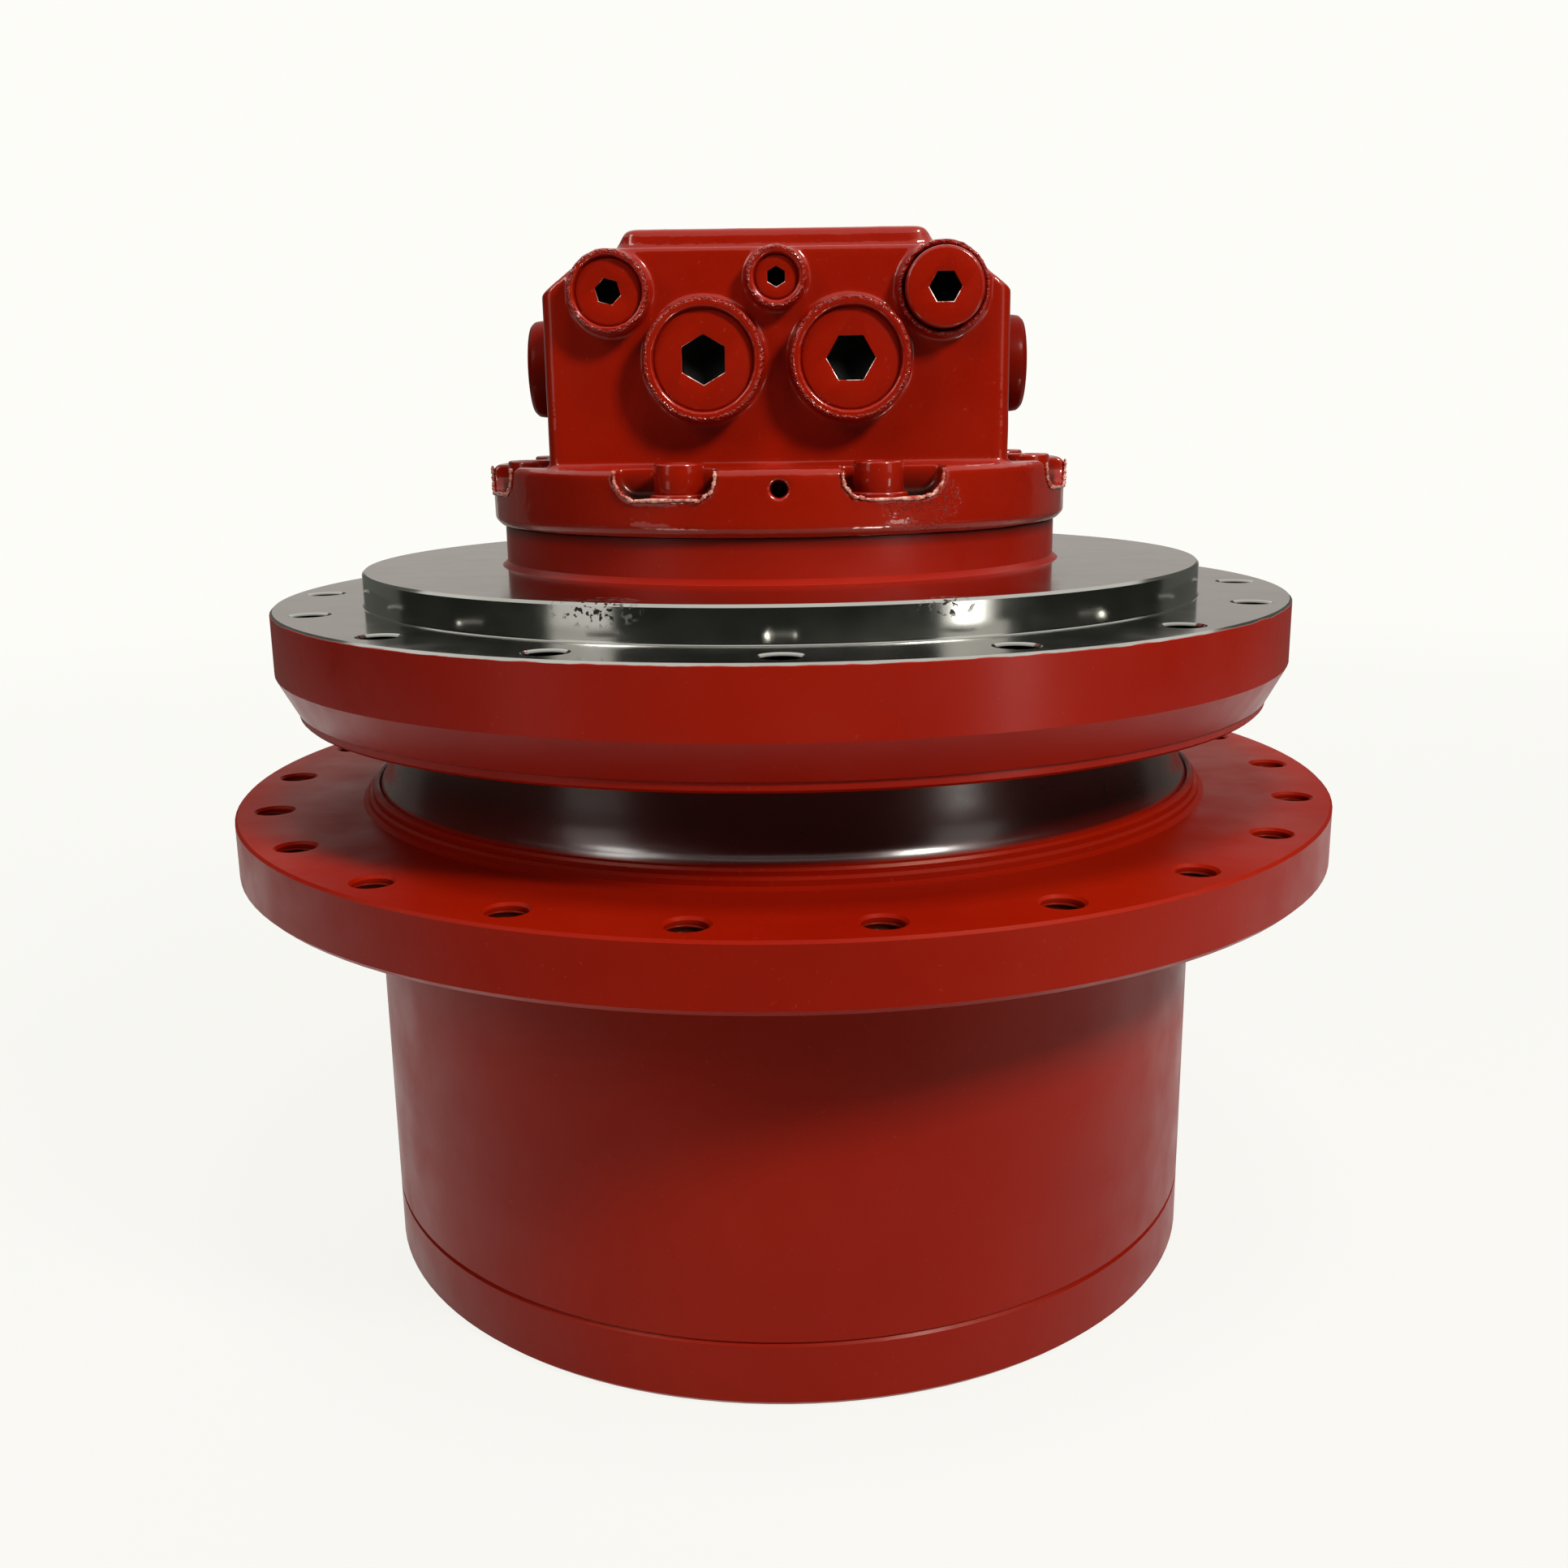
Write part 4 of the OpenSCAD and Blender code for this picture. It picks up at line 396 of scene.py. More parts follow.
steel = blend_colours(tree, stain, steel_grey, (0.33, 0.33, 0.29, 1))
steel = blend_colours(tree, pits, steel, rust_dark)
# Painted shade: the bare walls down the tapped holes are darkened below their mouths.
painted_shade_down_holes = sums(tree, "MULTIPLY", in_hole,
                 ramp(tree, height, hole_mouth, hole_mouth + 0.0009, 1, 0))
steel = blend_colours(tree, painted_shade_down_holes, steel, (0.04, 0.037, 0.03, 1))
metal = sums(tree, "MULTIPLY", bare, ramp(tree, pits, 0, 1, 1, 0.05))
tree.links.new(metal, skin.inputs["Metallic"])
tree.links.new(blend_colours(tree, bare, base, steel), skin.inputs["Base Color"])
skin.inputs["Specular Tint"].default_value = (1, 1, 1, 1)
red_rough = skin.inputs["Roughness"].links[0].from_socket
steel_rough = ramp(tree, grain(tree, where, 60, 3), 0.3, 0.7, 0.1, 0.17)
rough_pick = tree.nodes.new("ShaderNodeMix")
tree.links.new(bare, rough_pick.inputs[0])
tree.links.new(red_rough, rough_pick.inputs[2])
tree.links.new(steel_rough, rough_pick.inputs[3])
tree.links.new(rough_pick.outputs[0], skin.inputs["Roughness"])
skin.inputs["Coat Weight"].default_value = 0.1
peel_normal = skin.inputs["Normal"].links[0].from_socket
turned = relief(tree, rings.outputs["Fac"], 0.08, 0.00002)
normal_pick = tree.nodes.new("ShaderNodeMix")
normal_pick.data_type = "VECTOR"
tree.links.new(bare, normal_pick.inputs[0])
tree.links.new(peel_normal, normal_pick.inputs[4])
tree.links.new(turned, normal_pick.inputs[5])
tree.links.new(normal_pick.outputs[1], skin.inputs["Normal"])
tree.links.new(normal_pick.outputs[1], skin.inputs["Coat Normal"])
on_nodes(spindle_finish, "spindle")


def only(piece):
    bpy.ops.object.select_all(action="DESELECT")
    piece.select_set(True)
    bpy.context.view_layer.objects.active = piece


def finish_mesh(piece):
    only(piece)
    for modifier in list(piece.modifiers):
        bpy.ops.object.modifier_apply(modifier=modifier.name)
    bpy.ops.object.transform_apply(location=True, rotation=True, scale=True)


def dress(piece, finish, body, slot, *replaced, others=()):
    picks = [face.material_index for face in piece.data.polygons]
    piece.data.materials.clear()
    for each in (finish, *others):
        piece.data.materials.append(each)
    if others:
        piece.data.polygons.foreach_set("material_index", picks)
    for node in replaced:
        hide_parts(node)
    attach(piece, body)


# The gears are case-hardened steel with ground flanks, which shine through a
# film of gear oil. Stains and fine scratches from the wheel break the shine.


def worked_metal(name, colour, stained, rough, scratch, depth):
    mat, tree, skin, where = new_finish(name, colour, rough, 1.0)
    patches = ramp(tree, grain(tree, where, 35, 4), 0.35, 0.7)
    base = blend_colours(tree, patches, colour, stained)
    specks = ramp(tree, grain(tree, where, 900, 2), 0.66, 0.74, 0, 0.6)
    base = blend_colours(tree, specks, base, stained, "MULTIPLY")
    tree.links.new(base, skin.inputs["Base Color"])
    tree.links.new(ramp(tree, grain(tree, where, 70, 3), 0.3, 0.7, rough * 0.7, rough * 1.4),
                   skin.inputs["Roughness"])
    radius, height = radius_and_height(tree, where)
    lines = tree.nodes.new("ShaderNodeTexNoise")
    lines.noise_dimensions = "1D"
    lines.inputs["Scale"].default_value = scratch
    lines.inputs["Detail"].default_value = 3
    tree.links.new(sums(tree, "ADD", radius, height), lines.inputs["W"])
    tree.links.new(relief(tree, lines.outputs["Fac"], 0.4, depth), skin.inputs["Normal"])
    return mat


gear_finish = worked_metal("ground_gear_steel", (0.42, 0.42, 0.41, 1), (0.2, 0.19, 0.16, 1),
                           rough=0.28, scratch=1800, depth=0.00004)
on_nodes(gear_finish, "sun_gear_1", "sun_gear_2", "planet_1a", "planet_1b", "planet_1c",
         "planet_2a", "planet_2b", "planet_2c")

# Shafts, pins, races, needles, spools and pistons are hardened and ground
# bright. Lapped seal rings and the swash plate are polished the same way.
ground_finish = worked_metal("ground_bright_steel", (0.62, 0.62, 0.6, 1), (0.45, 0.44, 0.4, 1),
                             rough=0.14, scratch=2600, depth=0.00002)
on_nodes(ground_finish, "drive_shaft", "shaft_outer_races", "shaft_inner_races",
         "shaft_bearing_balls", "main_inner_races", "main_outer_races", "planet_1_pins",
         "planet_1_needles", "planet_2_pins", "planet_2_needles", "seal_ring_fixed",
         "seal_ring_turning", "retainer_plate", "pistons", "swash_plate", "control_piston",
         "counterbalance_spool")

# Springs, brake plates, the brake piston and the carrier's screws are black
# oxide steel, oiled and rubbed bright where they slide.
dark_finish = worked_metal("black_oxide_steel", (0.07, 0.07, 0.075, 1), (0.025, 0.024, 0.024, 1),
                           rough=0.36, scratch=1200, depth=0.00005)
on_nodes(dark_finish, "spool_springs", "block_springs", "swash_pivots", "brake_steel_plates",
         "brake_piston", "brake_springs", "carrier_2_screws")

# Two cup springs press the brake piston down, and a wound spring at each end
# centres the spool. Each is compressed between its seat and the moving piece.


def spring_piece(name, node, kept):
    spring = add_object(name, nodes[node].data.copy())
    only(spring)
    bpy.ops.object.mode_set(mode="EDIT")
    bpy.ops.mesh.select_mode(type="VERT")
    bpy.ops.mesh.select_all(action="SELECT")
    bpy.ops.mesh.remove_doubles(threshold=0.00001)
    bpy.ops.mesh.select_all(action="DESELECT")
    bpy.ops.object.mode_set(mode="OBJECT")
    for vertex in spring.data.vertices:
        vertex.select = not kept(vertex.co)
    bpy.ops.object.mode_set(mode="EDIT")
    bpy.ops.mesh.delete(type="VERT")
    bpy.ops.mesh.select_all(action="SELECT")
    bpy.ops.mesh.normals_make_consistent(inside=False)
    bpy.ops.object.mode_set(mode="OBJECT")
    bpy.ops.object.shade_smooth_by_angle(angle=math.radians(40))
    spring.data.materials.clear()
    spring.data.materials.append(dark_finish)
    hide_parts(node)
    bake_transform(spring)


spring_piece("brake_cup_springs", "brake_springs", lambda co: True)
for side, name in ((-1, "spool_spring_left"), (1, "spool_spring_right")):
    spring_piece(name, "spool_springs", lambda co: co.x * side > 0)

# Both carriers and the cylinder block are machined iron castings. They are
# grey and finely grained, and bare because they run in oil.
iron_finish, tree, skin, where = new_finish("machined_grey_iron", (0.13, 0.13, 0.128, 1), 0.5, 0.7)
flecks = ramp(tree, grain(tree, where, 800, 4), 0.4, 0.62)
tree.links.new(blend_colours(tree, flecks, (0.17, 0.17, 0.165, 1), (0.075, 0.073, 0.07, 1)),
               skin.inputs["Base Color"])
tree.links.new(ramp(tree, grain(tree, where, 60, 3), 0.3, 0.7, 0.38, 0.6),
               skin.inputs["Roughness"])
tree.links.new(relief(tree, grain(tree, where, 1100, 3), 0.4, 0.00012), skin.inputs["Normal"])
on_nodes(iron_finish, "cylinder_block", "carrier_1", "carrier_2")

# Bronze runs against steel at the valve plate, the piston shoes, the thrust
# plate and the brake's friction discs. The main balls have the same oil tint.
bronze_finish = worked_metal("oiled_bronze", (0.5, 0.29, 0.1, 1), (0.26, 0.14, 0.05, 1),
                             rough=0.3, scratch=1500, depth=0.00004)
on_nodes(bronze_finish, "valve_plate", "piston_shoes", "brake_friction_discs", "thrust_plate",
         "upper_balls", "lower_balls")

# The shaft seal and the two pairs of O-rings are black nitrile rubber, moulded
# with a fine dull skin.
rubber_finish, tree, skin, where = new_finish("black_nitrile", (0.012, 0.012, 0.013, 1), 0.6, 0.0)
skin.inputs["Specular IOR Level"].default_value = 0.35
bloom = ramp(tree, grain(tree, where, 120, 4), 0.45, 0.75, 0, 0.6)
tree.links.new(blend_colours(tree, bloom, (0.012, 0.012, 0.013, 1), (0.04, 0.039, 0.037, 1)),
               skin.inputs["Base Color"])
tree.links.new(ramp(tree, grain(tree, where, 90, 3), 0.3, 0.7, 0.5, 0.75),
               skin.inputs["Roughness"])
tree.links.new(relief(tree, grain(tree, where, 1400, 2), 0.25, 0.0001), skin.inputs["Normal"])
on_nodes(rubber_finish, "shaft_seal", "spindle_o_rings", "hub_o_rings")

# The port block is an iron casting under thick glossy enamel, with soft edges
# and a sandy skin. The enamel has beaded along the rims of the bosses and left
# specks by the right pocket. Shade is painted near black into the screw
# pockets and along a band under the flange, where the coat is left off.
skin_size, pad_low = 0.0009, 0.4012
flange_r, flange_top, front_y = 0.1165, 0.324, -0.08
# Each boss: x, z, radius, and how far it stands out
bosses = [(-0.026, 0.361, 0.0217, 0.012), (0.026, 0.361, 0.0217, 0.012),
          (-0.059, 0.3845, 0.0147, 0.010), (0, 0.389, 0.011, 0.008),
          (0.059, 0.3845, 0.0166, 0.006)]
pocket_in, pocket_low, pocket_dark, pocket_light = 0.1135, 0.3115, 0.3140, 0.3225
specks_middle, specks_in, specks_out = (0.05, -0.105, 0.312), 0.009, 0.018

block_finish, tree, skin, where, base = red_enamel("port_block_thick_red", 0.3, 0.3)
skin.inputs["Coat Roughness"].default_value = 0.04
radius, height = radius_and_height(tree, where)
block_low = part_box("port_block")[0]
gap_low, gap_high = block_low.z + 0.0002, block_low.z + 0.0006
in_pocket = sums(tree, "MULTIPLY", ramp(tree, height, pocket_dark, pocket_light, 1, 0),
                 sums(tree, "MULTIPLY", ramp(tree, radius, pocket_in - 0.0015, pocket_in, 1, 0),
                      ramp(tree, height, pocket_low, pocket_low + 0.0005)))
# Painted shade: the screw pockets and a band under the flange are darkened near black.
painted_shade_in_gap_and_pockets = sums(tree, "MAXIMUM", ramp(tree, height, gap_low, gap_high, 1, 0), in_pocket)
base = blend_colours(tree, painted_shade_in_gap_and_pockets, base, (0.012, 0.003, 0.002, 1))
tree.links.new(base, skin.inputs["Base Color"])
low_dull = ramp(tree, height, gap_low + 0.001, gap_low + 0.005)
coat = sums(tree, "MULTIPLY", ramp(tree, painted_shade_in_gap_and_pockets, 0, 1, 0.7, 0), low_dull)
tree.links.new(coat, skin.inputs["Coat Weight"])
split = tree.nodes.new("ShaderNodeSeparateXYZ")
tree.links.new(where, split.inputs[0])
beaded = 0.0
for boss_x, boss_z, boss_r, out in bosses:
    off_axis = distance_from(tree, where, (boss_x, 0, boss_z), (1, 0, 1))
    off_rim = sums(tree, "ABSOLUTE", sums(tree, "SUBTRACT", off_axis, boss_r - 0.0006), 0)
    behind_face = sums(tree, "SUBTRACT", split.outputs[1], front_y - out + 0.0004)
    off_face = sums(tree, "ABSOLUTE", behind_face, 0)
    ring = ramp(tree, sums(tree, "MAXIMUM", off_rim, off_face), 0.0006, 0.0013, 1, 0)
    beaded = sums(tree, "MAXIMUM", ring, beaded)
speck_zone = ramp(tree, distance_from(tree, where, specks_middle, (1, 1, 1.6)),
                  specks_in, specks_out, 1, 0)
speck_grain = sums(tree, "MULTIPLY", ramp(tree, grain(tree, where, 900, 2), 0.56, 0.64),
                   speck_zone)
bead_grain = sums(tree, "MULTIPLY", ramp(tree, grain(tree, where, 850, 1), 0.4, 0.65), beaded)
peel_normal = skin.inputs["Coat Normal"].links[0].from_socket
sparkle = relief(tree, sums(tree, "MAXIMUM", speck_grain, bead_grain), 1.0, 0.0007, peel_normal)
tree.links.new(sparkle, skin.inputs["Coat Normal"])
tree.links.new(sparkle, skin.inputs["Normal"])


def close_seams(piece, reach):
    only(piece)
    bpy.ops.object.mode_set(mode="EDIT")
    bpy.ops.mesh.select_all(action="SELECT")
    bpy.ops.mesh.remove_doubles(threshold=reach)
    bpy.ops.mesh.normals_make_consistent(inside=False)
    bpy.ops.object.mode_set(mode="OBJECT")


casting = add_object("port_block_casting", nodes["port_block"].data.copy())
close_seams(casting, 0.00002)
cast_skin = casting.modifiers.new("cast_skin", "REMESH")
cast_skin.mode = "VOXEL"
cast_skin.voxel_size = skin_size
soft_edges = casting.modifiers.new("soft_edges", "SMOOTH")
soft_edges.factor = 0.5
soft_edges.iterations = 9
finish_mesh(casting)
pad_edges = casting.vertex_groups.new(name="pad_edges")
for vertex in casting.data.vertices:
    if vertex.co.z > pad_low:
        pad_edges.add([vertex.index], 1.0, "REPLACE")
rounded = casting.modifiers.new("rounded_pad", "SMOOTH")
rounded.factor = 0.5
rounded.iterations = 40
rounded.vertex_group = "pad_edges"
finish_mesh(casting)
casting.vertex_groups.clear()


def boss_rim_share(x, y, z):
    share = 0.0
    for boss_x, boss_z, boss_r, out in bosses:
        from_axis = math.hypot(x - boss_x, z - boss_z)
        off_rim = math.hypot(from_axis - boss_r, y - (front_y - out))
        share = max(share, 0.3 * max(0.0, 1 - off_rim / 0.0022))
    return share


rims = casting.vertex_groups.new(name="rims")
for vertex in casting.data.vertices:
    share = boss_rim_share(*vertex.co)
    if share > 0.02:
        rims.add([vertex.index], min(1.0, 1.6 * share), "REPLACE")
bead_pattern = bpy.data.textures.new("paint_beads", "CLOUDS")
bead_pattern.noise_scale = 0.0024
bead_pattern.noise_depth = 1
bead_pattern.contrast = 1.6
beads = casting.modifiers.new("paint_beads", "DISPLACE")
beads.texture = bead_pattern
beads.vertex_group = "rims"
beads.strength = 0.0018
beads.mid_level = 0.35
sand_pattern = bpy.data.textures.new("sand_cast", "CLOUDS")
sand_pattern.noise_scale = 0.016
sand_pattern.noise_depth = 1
sand = casting.modifiers.new("sand_cast", "DISPLACE")
sand.texture = sand_pattern
sand.strength = 0.0003
sand.mid_level = 1.0
thin = casting.modifiers.new("thin", "DECIMATE")
thin.ratio = min(1.0, 185000 / max(1, 2 * len(casting.data.polygons)))
finish_mesh(casting)
bpy.ops.object.shade_smooth()
casting.vertex_groups.clear()
dress(casting, block_finish, "spindle", "red_paint", "port_block")

# Where the thick enamel ran down the screw pockets it dried in an uneven,
# glossy bead along each pocket's rim. The beads follow the eight pockets'
# outlines round the flange and are joined to one piece.
screw_circle, screw_turn = 0.103, math.radians(20)
pocket_half, pocket_depth, pocket_corner, pocket_shift = 0.018, 0.0105, 0.008, 0.0047
bead_r, bead_out, bead_steps, corner_steps = 0.00062, 0.0001, 90, 8

bead_finish, tree, skin, where, base = red_enamel("dried_enamel_bead", 0.4, 0.3)
# Painted highlight: the beads' red is mixed in patches with pale pink glints.
painted_glint_patches = ramp(tree, grain(tree, where, 420, 3), 0.4, 0.62)
base = blend_colours(tree, painted_glint_patches, (0.36, 0.03, 0.015, 1), (0.72, 0.34, 0.26, 1))
tree.links.new(base, skin.inputs["Base Color"])
skin.inputs["Coat Weight"].default_value = 1
skin.inputs["Coat Roughness"].default_value = 0.05
tree.links.new(relief(tree, grain(tree, where, 700, 2), 0.8, 0.0004), skin.inputs["Coat Normal"])
pocket_middle = screw_circle * math.sin(screw_turn) + pocket_shift
pocket_floor = flange_top - pocket_depth
straight = pocket_half - pocket_corner
rim_path = [(-pocket_half, flange_top - 0.0005), (-pocket_half, pocket_floor + pocket_corner)]
for i in range(1, corner_steps + 1):
    a = math.radians(180 + 90 * i / corner_steps)
    rim_path.append((-straight + pocket_corner * math.cos(a),
                     pocket_floor + pocket_corner + pocket_corner * math.sin(a)))
rim_path += [(-x, z) for x, z in reversed(rim_path)]
bead_curve = bpy.data.curves.new("pocket_paint_beads", "CURVE")
bead_curve.dimensions = "3D"
bead_curve.bevel_depth = bead_r
bead_curve.bevel_resolution = 3
bead_curve.use_fill_caps = True
for quarter in range(4):
    a = math.radians(90 * quarter)
    for side in (-1, 1):
        run = [side * pocket_middle + x for x, z in rim_path], [z for x, z in rim_path]
        strand = bead_curve.splines.new("POLY")
        strand.points.add(bead_steps)
        for i, point in enumerate(strand.points):
            step = i / bead_steps * (len(rim_path) - 1)
            k = min(int(step), len(rim_path) - 2)
            along = run[0][k] + (run[0][k + 1] - run[0][k]) * (step - k)
            z = run[1][k] + (run[1][k + 1] - run[1][k]) * (step - k)
            ripple = (math.sin(1.9 * i + 5 * quarter + side)
                      + math.sin(0.73 * i + 2 * quarter - side))
            z -= 0.0003 * (1 + math.sin(0.41 * i + 3 * quarter + 2 * side))
            out = math.sqrt((flange_r + bead_out) ** 2 - along ** 2)
            point.co = (along * math.cos(a) + out * math.sin(a),
                        along * math.sin(a) - out * math.cos(a), z, 1)
            point.radius = 1 + 0.24 * ripple
bead_rope = add_object("pocket_paint_beads", bead_curve)
only(bead_rope)
bpy.ops.object.convert(target="MESH")
bead_rope = bpy.context.object
close_seams(bead_rope, 0.00001)
bpy.ops.object.shade_smooth()
dress(bead_rope, bead_finish, "spindle", "red_paint")

# The plugs close the ports for shipping. Each is turned steel with a hexagon
# socket, screwed into the casting and painted over with it. The lower edges
# of the sockets, which face up, are painted pale as a highlight.
socket_black, tree, skin, where = new_finish("socket_black", (0.003, 0.0025, 0.002, 1), 0.6, 0.0)
skin.inputs["Specular IOR Level"].default_value = 0.1
oily = ramp(tree, grain(tree, where, 900, 3), 0.35, 0.7, 0.35, 0.7)
tree.links.new(oily, skin.inputs["Roughness"])
tree.links.new(relief(tree, grain(tree, where, 1200, 2), 0.3, 0.0002), skin.inputs["Normal"])
socket_edge_highlight, tree, skin, where = new_finish("painted_socket_edge_highlight", (0.62, 0.45, 0.4, 1), 0.3, 0.6)
highlight_patches = ramp(tree, grain(tree, where, 500, 3), 0.4, 0.6)
tree.links.new(blend_colours(tree, highlight_patches, enamel_red, (0.7, 0.55, 0.5, 1)),
               skin.inputs["Base Color"])


def cut_hexagon(piece, place, across, turn, depth, aim):
    bpy.ops.object.select_all(action="DESELECT")
    bpy.ops.mesh.primitive_cylinder_add(vertices=6, radius=across / math.sqrt(3), depth=2 * depth)
    cutter = bpy.context.object
    cutter.matrix_world = (Matrix.Translation(place)
                           @ aim.to_track_quat("Z", "Y").to_matrix().to_4x4()
                           @ Matrix.Rotation(turn, 4, "Z"))
    socket = piece.modifiers.new("socket", "BOOLEAN")
    socket.operation = "DIFFERENCE"
    socket.solver = "EXACT"
    socket.object = cutter
    bpy.context.view_layer.update()
    only(piece)
    bpy.ops.object.modifier_apply(modifier="socket")
    bpy.data.objects.remove(cutter, do_unlink=True)
    for face in piece.data.polygons:
        from_axis = face.center - Vector(place)
        deep = -from_axis.dot(aim)
        off_axis = (from_axis + deep * aim).length
        face.material_index = int(deep > 0.0009 and off_axis < 0.52 * across)


def edges_at(piece, test):
    only(piece)
    bpy.ops.object.mode_set(mode="EDIT")
    bpy.ops.mesh.select_mode(type="EDGE")
    bpy.ops.mesh.select_all(action="DESELECT")
    bpy.ops.object.mode_set(mode="OBJECT")
    verts = piece.data.vertices
    for edge in piece.data.edges:
        edge.select = all(test(verts[i].co) for i in edge.vertices)
    bpy.ops.object.mode_set(mode="EDIT")


def break_edges(piece, width, steps=2, angle=30):
    soft = piece.modifiers.new("broken_edges", "BEVEL")
    soft.width = width
    soft.segments = steps
    soft.limit_method = "ANGLE"
    soft.angle_limit = math.radians(angle)
    finish_mesh(piece)
    bpy.ops.object.shade_smooth_by_angle(angle=math.radians(40))


def pull_stem(piece, step, length):
    bpy.ops.mesh.select_mode(type="FACE")
    bpy.ops.mesh.select_all(action="DESELECT")
    bpy.ops.object.mode_set(mode="OBJECT")
    for face in piece.data.polygons:
        face.select = face.normal.z < -0.9
    bpy.ops.object.mode_set(mode="EDIT")
    bpy.ops.mesh.inset(thickness=step)
    bpy.ops.mesh.extrude_region_move(TRANSFORM_OT_translate={"value": (0, 0, -length)})
    bpy.ops.object.mode_set(mode="OBJECT")


front = Vector((0, -1, 0))


def port_plug(name, x, z, face_y, head_r, head_t, stem_r, length, across, turn):
    bpy.ops.object.select_all(action="DESELECT")
    bpy.ops.mesh.primitive_cylinder_add(vertices=96, radius=head_r, depth=head_t)
    plug = bpy.context.object
    plug.name = name
    edges_at(plug, lambda co: co.z > head_t / 4)
    bpy.ops.mesh.bevel(offset=min(0.0012, head_t / 3), segments=3)
    pull_stem(plug, head_r - stem_r, length)
    plug.matrix_world = (Matrix.Translation((x, face_y + head_t / 2, z))
                         @ Matrix.Rotation(math.pi / 2, 4, "X"))
    finish_mesh(plug)
    cut_hexagon(plug, (x, face_y, z), across, turn, 0.6 * length, front)
    break_edges(plug, 0.0004)
    # Small faces at the socket's rim that face up take the pale painted highlight.
    for face in plug.data.polygons:
        off_axis = math.hypot(face.center.x - x, face.center.z - z)
        at_rim = abs(face.center.y - face_y) < 0.0006 and 0.48 < off_axis / across < 0.64
        small_and_low = face.area < 0.00002 and face.normal.z > 0.15
        if at_rim and small_and_low:
            face.material_index = 2
    return plug


recess, plug_head_t = 0.0025, 0.003
main_face_y = front_y - bosses[0][3] + recess
# Each plug: x, z, face's y, head's radius and thickness, stem's radius and
# length, key, turn of the key, and the node that it stands for
plug_places = [
    ("left_main_plug", -0.026, 0.361, main_face_y,
     0.0177, plug_head_t, 0.014, 0.016, 0.015, 0.0, "main_port_plugs"),
    ("right_main_plug", 0.026, 0.361, main_face_y,
     0.0177, plug_head_t, 0.014, 0.016, 0.015, math.radians(30), "main_port_plugs"),
    ("drain_plug", -0.059, 0.3845, front_y - bosses[2][3] + recess,
     0.0117, plug_head_t, 0.0076, 0.014, 0.008, math.radians(15), "drain_port_plug"),
    ("gauge_plug", 0.059, 0.3845, front_y - 0.011,
     0.0139, 0.011, 0.0069, 0.016, 0.010, math.radians(30), "gauge_port_plug"),
    ("pilot_plug", 0, 0.389, front_y - bosses[3][3] + recess,
     0.0077, plug_head_t, 0.005, 0.012, 0.006, 0.0, "pilot_port_plug"),
]
for *sizes, node in plug_places:
    plug = port_plug(*sizes)
    dress(plug, block_finish, "spindle", "red_paint", node, others=(socket_black, socket_edge_highlight))

# Eight M12 socket head screws on hard washers hold the port block to the
# spindle. They sit in pockets of the flange and are sprayed with it. One
# screw is turned up with its washer, and the others are copies of it.
screw_finish, tree, skin, where, base = red_enamel("screw_thick_red", 0.3, 0.3)
skin.inputs["Coat Weight"].default_value = 0.8
skin.inputs["Coat Roughness"].default_value = 0.05
tree.links.new(base, skin.inputs["Base Color"])
screw_head_r, screw_head_h, screw_shank_r, screw_seat_z = 0.009, 0.0108, 0.00525, 0.3135
washer_r, washer_t, screw_key, screw_low_z = 0.0105, 0.0015, 0.0101, 0.276

bpy.ops.object.select_all(action="DESELECT")
bpy.ops.mesh.primitive_cylinder_add(vertices=64, radius=screw_head_r, depth=screw_head_h,
                                    location=(0, 0, screw_seat_z + washer_t + screw_head_h / 2))
screw = bpy.context.object
finish_mesh(screw)
screw_top_z = screw_seat_z + washer_t + screw_head_h
edges_at(screw, lambda co: co.z > screw_top_z - 0.001)
bpy.ops.mesh.bevel(offset=0.0011, segments=3)
pull_stem(screw, screw_head_r - screw_shank_r, screw_seat_z + washer_t - screw_low_z)
cut_hexagon(screw, (0, 0, screw_top_z), screw_key, 0.0, 0.006, Vector((0, 0, 1)))
break_edges(screw, 0.0004)

bpy.ops.object.select_all(action="DESELECT")
bpy.ops.mesh.primitive_cylinder_add(vertices=64, radius=washer_r, depth=washer_t,
                                    location=(0, 0, screw_seat_z + washer_t / 2))
washer = bpy.context.object
finish_mesh(washer)
edges_at(washer, lambda co: co.z > screw_seat_z + washer_t / 2)
bpy.ops.mesh.bevel(offset=0.0008, segments=3)
bpy.ops.object.mode_set(mode="OBJECT")
only(washer)
bpy.ops.object.shade_smooth_by_angle(angle=math.radians(40))
bpy.ops.object.select_all(action="DESELECT")
washer.select_set(True)
screw.select_set(True)
bpy.context.view_layer.objects.active = screw
bpy.ops.object.join()
for quarter in range(4):
    for side in (-1, 1):
        a = math.radians(90 * quarter - 90) + side * screw_turn
        copy = add_object("block_screw_%d" % (2 * quarter + (side > 0)), screw.data.copy())
        hole = Matrix.Translation((screw_circle * math.cos(a), screw_circle * math.sin(a), 0))
        copy.data.transform(hole @ Matrix.Rotation(a * 3.7, 4, "Z"))
        dress(copy, screw_finish, "spindle", "red_paint", "port_block_screws",
              others=(socket_black,))
bpy.data.objects.remove(screw, do_unlink=True)
